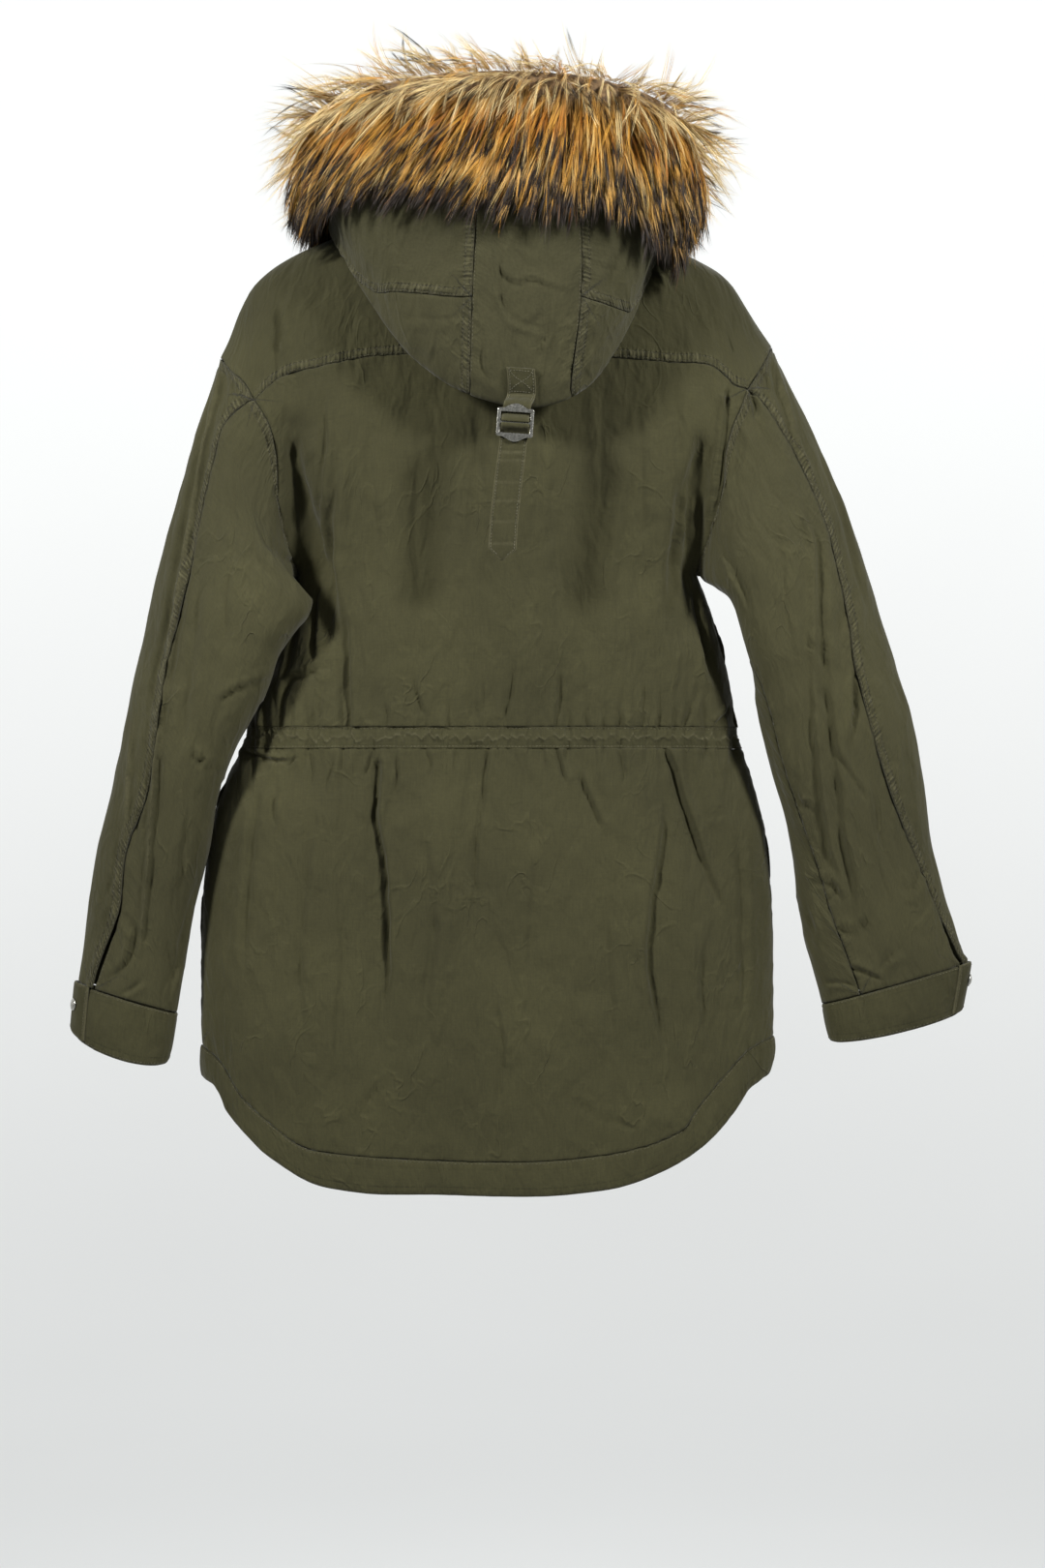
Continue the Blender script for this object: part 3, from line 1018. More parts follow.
def crests(rows, x, z):
    """How faded the cloth is along the raised folds."""
    total = np.zeros(x.shape)
    for deep, width, _, start, end, points in rows:
        if deep < 0:
            p = np.asarray(points, float)
            d, s = along(Run(p)(np.linspace(0, 1, 5 * len(p))), x, z)
            grow = ease((s + 0.04) / max(start, 0.01)) * ease((1.04 - s) / max(end, 0.01))
            total += grow * np.exp(-((d / 1.7) ** 2)) * (0.75 + 0.4 * rumple(s * 300, 17, 41))
    return total


def gathers(x, away, seed, pitch, high, reach):
    """Small folds that run away from a gathered seam and fade with the distance."""
    rng = np.random.RandomState(seed)
    total = np.zeros(x.shape)
    lo, hi = float(x.min()) - 10, float(x.max()) + 10
    at = -330.0
    while at < 330.0:
        at += pitch * rng.uniform(0.55, 1.5)
        tall = high * rng.uniform(0.25, 1.0) * (1 if rng.rand() < 0.62 else -1)
        long = reach * rng.uniform(0.35, 1.0) * (2.2 if rng.rand() < 0.12 else 1)
        wide = pitch * rng.uniform(0.22, 0.4)
        lean = rng.uniform(-0.16, 0.16)
        if not lo < at < hi:
            continue
        if tall < 0:
            tall, wide = tall * 1.3, wide * 0.65
        u = (x - at - lean * away) / (wide * (1 + away / (2.2 * long)))
        total += tall * np.exp(-(u * u)) * np.exp(-((away / long) ** 1.4))
    return total


# ================================================================ sheets of cloth
def resample(points, shares):
    """Points of a broken line at shares of its length."""
    p = np.asarray(points, float)
    c = np.r_[0, np.cumsum(np.linalg.norm(np.diff(p, axis=0), axis=1))]
    c /= c[-1]
    return np.stack([np.interp(shares, c, q) for q in p.T], -1)


def steps(length, coarse, fine=1.1, reach=10.0, first=True, last=True, every=2):
    """Places from 0 to 1 along a length in mm, closer together near the named ends."""
    s = np.linspace(0, length, 4000)
    size = np.full(s.shape, float(coarse))
    for on, d in ((first, s), (last, length - s)):
        if on:
            size = np.minimum(size, fine + (coarse - fine) * ease((d - reach) / (2.2 * reach)))
    count = np.r_[0, np.cumsum(np.diff(s) / ((size[1:] + size[:-1]) / 2))]
    n = int(math.ceil(count[-1] / every)) * every
    return np.interp(np.linspace(0, count[-1], n + 1), count, s / length)


def outward(points):
    """Unit normals of a grid of points, rows down and columns across."""
    across = np.gradient(points, axis=1)
    down = np.gradient(points, axis=0)
    n = np.cross(down, across)
    return n / np.maximum(np.linalg.norm(n, axis=-1, keepdims=True), 1e-9)


def edge_distances(p):
    dr = np.linalg.norm(np.diff(p, axis=0), axis=-1)
    dc = np.linalg.norm(np.diff(p, axis=1), axis=-1)
    zr, zc = np.zeros((1, p.shape[1])), np.zeros((p.shape[0], 1))
    return {
        "top": np.vstack([zr, np.cumsum(dr, 0)]),
        "bottom": np.vstack([np.cumsum(dr[::-1], 0)[::-1], zr]),
        "left": np.hstack([zc, np.cumsum(dc, 1)]),
        "right": np.hstack([np.cumsum(dc[:, ::-1], 1)[:, ::-1], zc]),
    }


def run_lengths(p):
    """Length along the rows and down the columns, for the weave and the puckers."""
    dc = np.linalg.norm(np.diff(p, axis=1), axis=-1)
    dr = np.linalg.norm(np.diff(p, axis=0), axis=-1)
    across = np.hstack([np.zeros((p.shape[0], 1)), np.cumsum(dc, 1)])
    down = np.vstack([np.zeros((1, p.shape[1])), np.cumsum(dr, 0)])
    across = across - across[:, across.shape[1] // 2][:, None]
    return across, down


# A felled seam's strip, from its edge: width, height, its two rows of stitches
FELL_WIDTH, FELL_HEIGHT, FELL_ROWS = 8.6, 0.75, (1.7, 7.0)


class Cloth:
    """A grid of cloth: base points, normals, and the relief put on them."""

    def __init__(self, points, face, seed):
        self.p = np.asarray(points, float)
        self.n = outward(self.p)
        r, c, way = face
        r, c = int(r * (self.p.shape[0] - 1)), int(c * (self.p.shape[1] - 1))
        if np.dot(self.n[r, c], way) < 0:
            self.n = -self.n
            self.turned = True
        else:
            self.turned = False
        self.edge = edge_distances(self.p)
        self.across, self.down = run_lengths(self.p)
        self.h = np.zeros(self.p.shape[:2])
        self.wear = np.zeros(self.p.shape[:2])
        # the nearest seam: how far along it and away from it, and how heavy it is
        self.run = np.zeros(self.p.shape[:2])
        self.off = np.full(self.p.shape[:2], 40.0)
        self.heavy = np.zeros(self.p.shape[:2])
        self.seed = seed

    @property
    def x(self):
        return self.p[..., 0]

    @property
    def z(self):
        return self.p[..., 2]

    def soft(self, big=1.1, small=0.3, size=70.0):
        """Padded cloth's slow unevenness, and its small rumples."""
        a, d = self.across + 400, self.down + 400
        self.h += big * billow(a, d * 0.7, size, self.seed)
        self.h += big * 0.45 * billow(a, d, size * 0.42, self.seed + 1)
        self.h += small * billow(a, d, 13.0, self.seed + 2)
        return self

    def seam(self, edge, kind, seed=0):
        """Shapes the cloth along an edge: plain, felled, hem, under or soft."""
        d = self.edge[edge]
        s = self.across if edge in ("top", "bottom") else self.down
        s = s + 900
        near = d < self.off
        self.off = np.where(near, d, self.off)
        self.run = np.where(near, s, self.run)
        weight = {"felled": 1.0, "hem": 0.5, "plain": 0.22, "under": 0.1}[kind]
        self.heavy = np.where(near, weight, self.heavy)
        pucker = rumple(s, 5.2, self.seed + 11 + seed) + 0.6 * rumple(
            s, 11.0, self.seed + 12 + seed
        )
        if kind == "plain":
            self.h -= 0.55 * np.exp(-((d / 1.3) ** 2))
            self.h += 0.45 * pucker * np.exp(-((d / 9.0) ** 2))
        elif kind == "under":  # slips under the next panel's felled strip
            self.h -= 0.6 * np.exp(-((d / 1.4) ** 2))
            self.h += 0.55 * pucker * np.exp(-((d / 12.0) ** 2))
        elif kind == "felled":
            on = 1 - ease((d - FELL_WIDTH + 1.2) / 2.0)
            small = rumple(s, 2.7, self.seed + 13 + seed)
            self.h += FELL_HEIGHT * on - 0.5 * np.exp(-((d / 0.9) ** 2))
            middle = np.exp(-(((d - FELL_WIDTH / 2) / 2.6) ** 2))
            self.h += on * middle * (0.75 * pucker + 0.55 * small)
            for row in FELL_ROWS:
                self.h -= 0.55 * np.exp(-(((d - row) / 0.9) ** 2))
            self.h += 0.5 * pucker * np.exp(-(((d - 11) / 6.0) ** 2))
            self.wear += on * (0.04 + 0.3 * np.clip(small * 0.7 + pucker * 0.5, 0, 1) ** 1.3 * middle)
            self.wear += 0.22 * np.exp(-((d / 0.8) ** 2))
        elif kind == "hem":
            self.h -= 0.55 * np.exp(-((d / 1.2) ** 2))
            self.h += 0.5 * pucker * np.exp(-((d / 7.0) ** 2))
            self.wear += 0.35 * np.exp(-((d / 1.6) ** 2))
        return self

    def groove(self, edge, at, deep=0.45, wide=1.0):
        d = self.edge[edge]
        self.h -= deep * np.exp(-(((d - at) / wide) ** 2))
        return self

    def top(self):
        return self.p + self.n * (WALL / 2 + self.h)[..., None]

    def row(self, edge, at, share=(0.0, 1.0)):
        """Points and normals on the finished surface, a distance in from an edge."""
        d, o = self.edge[edge], self.top()
        n = self.n
        if edge in ("left", "right"):
            d, o, n = d.T, o.transpose(1, 0, 2), n.transpose(1, 0, 2)
        if edge in ("bottom", "right"):
            d, o, n = d[::-1], o[::-1], n[::-1]
        pts, nrm = [], []
        for k in range(d.shape[1]):
            f = np.interp(at, d[:, k], np.arange(d.shape[0]))
            i = min(int(f), d.shape[0] - 2)
            w = f - i
            pts.append(o[i, k] * (1 - w) + o[i + 1, k] * w)
            nrm.append(n[i, k] * (1 - w) + n[i + 1, k] * w)
        pts, nrm = np.array(pts), np.array(nrm)
        a, b = (int(round(q * (len(pts) - 1))) for q in share)
        return pts[a : b + 1], nrm[a : b + 1]

    def flat_size(self, ease_w=1.0, ease_l=1.0):
        dc = np.linalg.norm(np.diff(self.p, axis=1), axis=-1).sum(1)
        dr = np.linalg.norm(np.diff(self.p, axis=0), axis=-1).sum(0)
        a = np.cross(self.p[1:, :-1] - self.p[:-1, :-1], self.p[:-1, 1:] - self.p[:-1, :-1])
        b = np.cross(self.p[1:, :-1] - self.p[1:, 1:], self.p[:-1, 1:] - self.p[1:, 1:])
        area = (np.linalg.norm(a, axis=-1).sum() + np.linalg.norm(b, axis=-1).sum()) / 2
        w, l = dc.max() * ease_w / 1000, dr.max() * ease_l / 1000
        area = area * 1e-6 * ease_w * ease_l
        return round(w, 3), round(l, 3), round(float(min(max(area, 0.305 * w * l), w * l)), 4)


WALL = 1.7  # how thick the cloth is drawn, in mm


def mesh_object(name, verts, faces, mat, smooth=True):
    me = bpy.data.meshes.new(name)
    me.from_pydata([tuple(v) for v in np.asarray(verts, float) * MM], [], faces)
    me.update()
    if smooth:
        me.shade_smooth()
    ob = bpy.data.objects.new(name, me)
    SCENE.collection.objects.link(ob)
    ob.data.materials.append(mat)
    return ob


def set_values(ob, name, values):
    """A single number for each point of the mesh, as a grey colour."""
    layer = ob.data.color_attributes.new(name, "FLOAT_COLOR", "POINT")
    v = np.clip(np.asarray(values, float), 0, 1)
    rgba = np.stack([v, v, v, np.ones_like(v)], 1)
    layer.data.foreach_set("color", rgba.astype(np.float32).ravel())


def set_weave(ob, uv, name="weave"):
    """The weave's own coordinates, in mm of cloth, or those of the nearest seam."""
    layer = ob.data.uv_layers.new(name=name)
    loops = np.zeros(len(ob.data.loops), np.int64)
    ob.data.loops.foreach_get("vertex_index", loops)
    layer.data.foreach_set("uv", np.asarray(uv, np.float32)[loops].ravel())


def shell(name, cloth, mat, node, q=2, wall=None):
    """The cloth as a thin closed shell: a fine outside and a coarser plain inside."""
    wall = WALL if wall is None else wall
    p, n, h = cloth.p, cloth.n, cloth.h
    rows, cols = h.shape
    assert (rows - 1) % q == 0 and (cols - 1) % q == 0, (name, rows, cols)
    outer = p + n * (wall / 2 + h)[..., None]
    low = h.copy()
    for shift in range(1, q + 1):
        for axis in (0, 1):
            for way in (-shift, shift):
                low = np.minimum(low, np.roll(h, way, axis))
    drop = np.clip(-low, 0, None) + 0.15
    rim = np.zeros(h.shape, bool)
    rim[0], rim[-1], rim[:, 0], rim[:, -1] = True, True, True, True
    inner = p - n * (wall / 2 + drop)[..., None]
    inner[rim] = (outer - n * wall)[rim]
    inner = inner[::q, ::q]
    ir, ic = inner.shape[:2]
    o = np.arange(rows * cols).reshape(rows, cols)
    i = rows * cols + np.arange(ir * ic).reshape(ir, ic)
    faces = np.stack([o[:-1, :-1], o[1:, :-1], o[1:, 1:], o[:-1, 1:]], -1).reshape(-1, 4)
    back = np.stack([i[:-1, :-1], i[:-1, 1:], i[1:, 1:], i[1:, :-1]], -1).reshape(-1, 4)
    faces = [tuple(f) for f in faces.tolist()] + [tuple(f) for f in back.tolist()]
    loops = (
        (o[0], i[0]), (o[:, -1], i[:, -1]), (o[-1, ::-1], i[-1, ::-1]),
        (o[::-1, 0], i[::-1, 0]),
    )
    half = q // 2
    for fine, rough in loops:
        for k in range(len(rough) - 1):
            a = [int(f) for f in fine[k * q : k * q + q + 1]]
            r0, r1 = int(rough[k]), int(rough[k + 1])
            faces += [(a[j], a[j + 1], r0) for j in range(half)]
            faces.append((r0, a[half], r1))
            faces += [(a[j], a[j + 1], r1) for j in range(half, q)]
    if cloth.turned:
        faces = [f[::-1] for f in faces]
    verts = np.vstack([outer.reshape(-1, 3), inner.reshape(-1, 3)])
    ob = mesh_object(name, verts, faces, mat)
    uv = np.stack([cloth.across, cloth.down], -1)
    set_weave(ob, np.vstack([uv.reshape(-1, 2), uv[::q, ::q].reshape(-1, 2)]))
    plain = np.zeros(inner.shape[0] * inner.shape[1])
    set_values(ob, "wear", np.r_[cloth.wear.ravel(), plain])
    set_values(ob, "heavy", np.r_[cloth.heavy.ravel(), plain])
    set_weave(ob, np.vstack([np.stack([cloth.run, cloth.off], -1).reshape(-1, 2),
                             np.stack([plain, plain + 40.0], -1)]), "seam")
    finish(ob, node)
    return ob


def finish(ob, nodes):
    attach(ob, "root")
    if nodes:
        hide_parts(*([nodes] if isinstance(nodes, str) else nodes))


SHEETS = []


def sheet(ob, cloth, ease_w=1.0, ease_l=1.0):
    w, l, area = cloth.flat_size(ease_w, ease_l)
    SHEETS.append((ob.name, w, l, area))


# ================================================================ stitches
THREAD = {}


def stitch(group, points, normals, pitch=3.4, share=0.7, radius=0.3, seed=0):
    """A row of small stitches along points on the cloth."""
    p, n = np.asarray(points, float), np.asarray(normals, float)
    c = np.r_[0, np.cumsum(np.linalg.norm(np.diff(p, axis=0), axis=1))]
    count = int(c[-1] / pitch)
    if count < 1:
        return
    rng = np.random.RandomState(4000 + seed)
    start = np.arange(count) * pitch + rng.uniform(-0.15, 0.15, count) + pitch * 0.15
    stations = start[:, None] + np.array([0, 0.5, 1])[None] * pitch * share
    at = lambda q: np.stack([np.interp(stations, c, a) for a in q.T], -1)
    m, up = at(p), at(n)
    up /= np.maximum(np.linalg.norm(up, axis=-1, keepdims=True), 1e-9)
    m = m + up * np.array([-0.12, 0.26, -0.12])[None, :, None]
    way = m[:, 2] - m[:, 0]
    way /= np.maximum(np.linalg.norm(way, axis=-1, keepdims=True), 1e-9)
    side = np.cross(way[:, None], up)
    ring = np.stack([up * radius, -up * radius * 0.5 + side * radius * 0.95,
                     -up * radius * 0.5 - side * radius * 0.95], 2)
    v = m[:, :, None] + ring * np.array([0.7, 1.0, 0.7])[None, :, None, None]
    THREAD.setdefault(group, []).append(v.reshape(-1, 3))


def sew_threads(mat, pale):
    """Joins every row of stitches into one mesh for each part of the coat."""
    one = []
    for s in range(2):
        for k in range(3):
            a, b = s * 3 + k, s * 3 + (k + 1) % 3
            one.append((a, b, b + 3, a + 3))
    ends = [(0, 2, 1), (6, 7, 8)]
    for group, rows in THREAD.items():
        v = np.vstack(rows)
        faces = []
        for k in range(len(v) // 9):
            faces += [tuple(q + 9 * k for q in f) for f in one + ends]
        ob = mesh_object(f"thread_{group}", v, faces, pale if group == "strap" else mat)
        finish(ob, None)


def double_row(cloth, group, edge, share=(0, 1), rows=FELL_ROWS, seed=0, pitch=3.4):
    for k, at in enumerate(rows):
        stitch(group, *cloth.row(edge, at, share), pitch=pitch, seed=seed + k)


# ================================================================ the body's pieces
BACK, FRONT = np.array([0, -1.0, 0]), np.array([0, 1.0, 0])
HALF = 0.08  # half of the gap at a sewn seam, which closes where the CAD needs room
STEP = 3.1  # the grid on the back, in mm
PLAIN_STEP = 7.0  # and on the sides that are plain


def panel(top, bottom, left, right, side, lift=0.0, step=STEP, ends=(1, 1, 1, 1),
          fine=1.1, tall=1.5):
    """A patch of the body between four dense rows of (x, z) points."""
    long = lambda q: np.linalg.norm(np.diff(q, axis=0), axis=1).sum()
    w = steps(max(long(top), long(bottom)), step / tall, fine, first=ends[2], last=ends[3])
    r = steps(max(long(left), long(right)), step * tall, fine, first=ends[0], last=ends[1])
    xz = patch(resample(top, w), resample(bottom, w), resample(left, r), resample(right, r))
    return on_body(xz, side, lift)


def straight(a, b, n=60):
    return np.linspace(np.asarray(a, float), np.asarray(b, float), n)


def arm_run(hand, a, b, n=120):
    return ARM_RUN[hand](np.linspace(a, b, n))


def side_line(hand, z0, z1, n=160):
    rows = SIDE_LEFT if hand < 0 else SIDE_RIGHT
    mid = [p for p in rows if z0 - 2 > p[1] > z1 + 2]
    run = Run([(at_height(rows, z0), z0)] + mid + [(at_height(rows, z1), z1)])
    return run(np.linspace(0, 1, n))


def waist_gathers(cloth, above, seed, high=1.5, reach=34.0):
    """Gathers beside the drawstring channel, fading up the back or down the skirt."""
    edge = "bottom" if above else "top"
    away = cloth.edge[edge]
    cloth.h += gathers(cloth.x, away, seed, 8.5, high * 1.25, reach * 0.8)
    cloth.h += gathers(cloth.x, away, seed + 1, 17.0, high * 1.3, reach * 1.6)
    cloth.h -= 0.35 * np.exp(-((away / 1.2) ** 2))


def make_body(mat):
    parts = {}
    # ---- back panel
    top = beside(SEAM_RUN(np.linspace(0, 1, 500)), -HALF)
    sides = {}
    for hand in (-1, 1):
        arm = arm_run(hand, back_join(hand), 1)
        side = side_line(hand, UNDERARM_Z, WAIST_TOP + HALF)
        sides[hand] = np.vstack([arm, side[1:]])
    sides[-1][0], sides[1][0] = top[0], top[-1]
    bottom = straight(sides[-1][-1], sides[1][-1], 300)
    c = Cloth(panel(top, bottom, sides[-1], sides[1], -1), (0.5, 0.5, BACK), 21)
    c.soft(1.0, 0.16, 80).seam("top", "under")
    away = np.minimum(c.edge["left"], c.edge["right"])
    calm = ease(away / 22)
    c.h *= 0.3 + 0.7 * calm
    c.h += creases(CREASES["back"], c.x, c.z) * (0.35 + 0.65 * calm)
    waist_gathers(c, True, 5, 1.9, 36.0)
    c.seam("left", "plain", 3).seam("right", "plain", 4)
    ob = shell("cloth_back_panel", c, mat, "back_panel")
    sheet(ob, c, 1.04)
    parts["back_panel"] = c
    # ---- yoke: the back and two flaps over the shoulders
    yoke_parts(mat, parts)
    # ---- drawstring channels
    for name, x0, x1, side in (
        ("waist_casing_back", None, None, -1), ("waist_casing_front_left", None, -HALF, 1),
        ("waist_casing_front_right", HALF, None, 1),
    ):
        parts[name] = channel(name, x0, x1, side, mat)
    # ---- skirts and hem bands
    for name, x0, x1, side, lift in (
        ("back", None, None, -1, 0.0), ("front_left", None, -HALF, 1, FRONT_RAISE),
        ("front_right", HALF, None, 1, FRONT_RAISE),
    ):
        parts["skirt_" + name] = skirt(name, x0, x1, side, lift, mat)
        parts["hem_" + name] = hem_band(name, x0, x1, side, lift, mat)
    for hand, word in ((-1, "left"), (1, "right")):
        parts["front_" + word] = upper_front(word, hand, mat)
    placket(mat, parts)
    return parts


def yoke_parts(mat, parts):
    k = 6
    tops = {}
    for hand in (-1, 1):
        xs = shoulder_tops(hand)[:, 0]
        xs = np.interp(np.arange((len(xs) - 1) * k + 1) / k, np.arange(len(xs)), xs)
        tops[hand] = np.array([(x, ridge_z(x)) for x in xs])
    n = len(tops[-1])
    neck = Run(NECK_BACK)(np.linspace(0, 1, NECK_STEPS * k + 1))
    top = np.vstack([tops[-1], neck[1:-1], tops[1][::-1]])
    a, b = SEAM_RUN.nearest_share(-104), SEAM_RUN.nearest_share(104)
    shares = np.r_[
        np.linspace(0, a, SHOULDER_STEPS * k + 1)[:-1],
        np.linspace(a, b, NECK_STEPS * k + 1)[:-1],
        np.linspace(b, 1, SHOULDER_STEPS * k + 1),
    ]
    low = beside(SEAM_RUN(shares), HALF)
    tip = np.array(ARM_TIP_STEPS)
    tip = np.interp(np.arange((len(tip) - 1) * k + 1) / k, np.arange(len(tip)), tip)
    arms = {h: ARM_RUN[h](tip * back_join(h)) for h in (-1, 1)}
    bottom = np.vstack([arms[-1][:-1], low, arms[1][::-1][1:]])
    r = steps(135, 3.6, 1.1, first=False)
    f = 1 - np.cos(r * np.pi / 2)
    f = 0.8 * f + 0.2 * r
    f = np.minimum(f, 1)
    # the last rows stay close together for the felled strip
    xz = top[None] + (bottom - top)[None] * f[:, None, None]
    c = Cloth(on_body(xz, -1), (0.6, 0.5, BACK), 31)
    calm = ease(c.edge["top"] / 25)
    c.soft(0.8, 0.16, 60)
    c.h += creases(CREASES["yoke"], c.x, c.z)
    c.h *= calm * (0.3 + 0.7 * ease(np.minimum(c.edge["left"], c.edge["right"]) / 8))
    keep = c.h.copy()
    c.h[:] = 0
    # only the seam's own columns are felled: the rest of the lower edge is the armhole
    c.seam("bottom", "felled")
    own = np.zeros(c.h.shape[1])
    own[(len(arms[-1]) - 1) : (len(arms[-1]) - 1 + len(low))] = 1
    own = np.convolve(np.r_[[own[0]] * 3, own, [own[-1]] * 3], np.ones(7) / 7, "valid")
    c.h = c.h * own[None] + keep
    c.wear *= own[None]
    c.heavy *= 0.1 + 0.9 * own[None]
    parts["yoke"] = c
    grids = [(c, False)]
    for hand in (-1, 1):
        t = tops[hand]
        seam_low = front_seam_points(hand)
        xs = np.interp(np.linspace(0, len(seam_low) - 1, SHOULDER_STEPS * k + 1),
                       np.arange(len(seam_low)), seam_low[:, 0])
        zs = np.interp(np.linspace(0, len(seam_low) - 1, SHOULDER_STEPS * k + 1),
                       np.arange(len(seam_low)), seam_low[:, 1])
        seam = beside(np.stack([xs, zs], 1)[::-1], -HALF * hand)
        arm = ARM_RUN[hand](np.linspace(0, 1, 3 * k + 1) * front_join(hand))
        lowf = np.vstack([arm[:-1], seam])
        rr = np.linspace(0, 1, 9)
        ff = 1 - np.cos(rr * np.pi / 2)
        ff = 0.6 * ff + 0.4 * rr
        xzf = t[None] + (lowf - t)[None] * ff[:, None, None]
        pts = on_body(xzf, 1)
        pts[0] = c.p[0, :n] if hand < 0 else c.p[0, ::-1][:n]
        g = Cloth(pts, (0.8, 0.6, FRONT), 33 + hand)
        g.h += 0.25 * billow(g.x + 300, g.z + 300, 14, 7) * ease(g.edge["top"] / 12)
        grids.append((g, True))
        parts["yoke_flap_" + ("left" if hand < 0 else "right")] = g
    verts, faces, uv, wear, seam_uv, heavy = [], [], [], [], [], []
    start = 0
    for g, _ in grids:
        rows, cols = g.h.shape
        o = start + np.arange(rows * cols).reshape(rows, cols)
        quads = np.stack([o[:-1, :-1], o[1:, :-1], o[1:, 1:], o[:-1, 1:]], -1).reshape(-1, 4)
        quads = quads[:, ::-1] if g.turned else quads
        faces += [tuple(q) for q in quads.tolist()]
        verts.append((g.p + g.n * g.h[..., None]).reshape(-1, 3))
        uv.append(np.stack([g.across, g.down], -1).reshape(-1, 2))
        wear.append(g.wear.ravel())
        seam_uv.append(np.stack([g.run, g.off], -1).reshape(-1, 2))
        heavy.append(g.heavy.ravel())
        start += rows * cols
    ob = mesh_object("cloth_back_yoke", np.vstack(verts), faces, mat)
    set_weave(ob, np.vstack(uv))
    set_weave(ob, np.vstack(seam_uv), "seam")
    set_values(ob, "wear", np.concatenate(wear))
    set_values(ob, "heavy", np.concatenate(heavy))
    bm = bmesh.new()
    bm.from_mesh(ob.data)
    bmesh.ops.remove_doubles(bm, verts=bm.verts, dist=5e-5)
    bm.to_mesh(ob.data)
    bm.free()
    thick = ob.modifiers.new("wall", "SOLIDIFY")
    thick.thickness = WALL * MM
    thick.offset = 0.0
    apply_modifiers(ob)
    finish(ob, "back_yoke")
    w, l, area = c.flat_size()
    flaps = sum(g.flat_size()[2] for g, on in grids if on)
    SHEETS.append((ob.name, w, l + 0.04, round(area + flaps, 4)))
    # the seam's two rows of stitches, above the seam
    n0 = len(arms[-1]) - 1
    share = (n0 / (len(bottom) - 1), (n0 + len(low) - 1) / (len(bottom) - 1))
    double_row(c, "body", "bottom", share, seed=1)


def apply_modifiers(ob):
    deps = bpy.context.evaluated_depsgraph_get()
    me = bpy.data.meshes.new_from_object(ob.evaluated_get(deps), depsgraph=deps)
    ob.modifiers.clear()
    old = ob.data
    ob.data = me
    bpy.data.meshes.remove(old)
    ob.data.shade_smooth()


def channel(name, x0, x1, side, mat):
    top_z, low_z = WAIST_TOP - HALF, WAIST_BOTTOM + HALF
    ends = []
    for z in (top_z, low_z):
        a = at_height(SIDE_LEFT, z) if x0 is None else x0
        b = at_height(SIDE_RIGHT, z) if x1 is None else x1
        ends.append(((a, z), (b, z)))
    top, bottom = straight(*ends[0], 300), straight(*ends[1], 300)
    left, right = straight(top[0], bottom[0]), straight(top[-1], bottom[-1])
    w = steps(np.linalg.norm(top[-1] - top[0]), 1.25 if side < 0 else 2.4, 1.0)
    r = np.linspace(0, 1, 23 if side < 0 else 13)
    xz = patch(resample(top, w), resample(bottom, w), resample(left, r), resample(right, r))
    c = Cloth(gathered(xz, side, 0.0), (0.5, 0.5, BACK if side < 0 else FRONT), 41)
    middle = (top_z + low_z) / 2
    dz = c.z - middle
    rng = np.random.RandomState(8 if side < 0 else 9)
    # the cord's ruched cloth: a pale ridge that zigzags, and folds from its corners
    nodes, levels, at, way = [-330.0], [0.0], -330.0, 1
    while at < 330:
        at += rng.uniform(2.2, 6.0)
        nodes.append(at)
        levels.append(way * rng.uniform(0.6, 4.2))
        way = -way if rng.rand() < 0.8 else way
    core = np.exp(-((dz / 6.2) ** 4))
    line = np.interp(c.x, nodes, levels)
    line += 0.9 * rumple(c.x + 900, 2.1, 19)
    c.h -= 2.0 * np.sin(np.pi * np.clip(0.5 + dz / (top_z - low_z), 0, 1))
    crest = np.exp(-(((dz - line) / 1.25) ** 2))
    c.h += crest * (0.9 + 0.5 * rumple(c.x + 500, 9.0, 23))
    c.wear += 0.75 * np.exp(-(((dz - line) / 0.7) ** 2)) * np.clip(
        0.55 + 0.6 * rumple(c.x + 700, 6.0, 29), 0.08, 1)
    for x0, z0 in zip(nodes, levels):
        lean = rng.uniform(-0.25, 0.25)
        past = np.clip((dz - z0) * np.sign(z0 + 1e-6), 0, None)
        u = (c.x - x0 - lean * past) / rng.uniform(0.8, 1.3)
        tall = rng.uniform(0.35, 1.0)
        c.h += tall * np.exp(-(u * u)) * (past > 0) * np.exp(-((past / 7.0) ** 2))
        u = (c.x - x0 - 1.9 - lean * past) / 0.9
        c.h -= 0.7 * tall * np.exp(-(u * u)) * np.exp(-((past / 8.0) ** 2)) * core
    c.h -= 0.4 * np.exp(-(((np.abs(dz) - 7.6) / 0.9) ** 2))
    seed = 5 if side < 0 else 35
    c.h += gathers(c.x, 0 * dz, seed, 8.5, 1.6, 30.0) * (0.55 + 0.45 * np.abs(dz) / 9)
    c.h += gathers(c.x, 0 * dz, seed + 1, 17.0, 1.8, 40.0) * (0.55 + 0.45 * np.abs(dz) / 9)
    for z0 in (top_z, low_z):
        c.h -= 0.25 * np.exp(-(((c.z - z0) / 1.0) ** 2))
    ob = shell("cloth_" + name, c, mat, name)
    sheet(ob, c, 1.25)
    for edge in ("top", "bottom"):
        stitch("body", *c.row(edge, 1.6), seed=61, pitch=3.2)
    return c


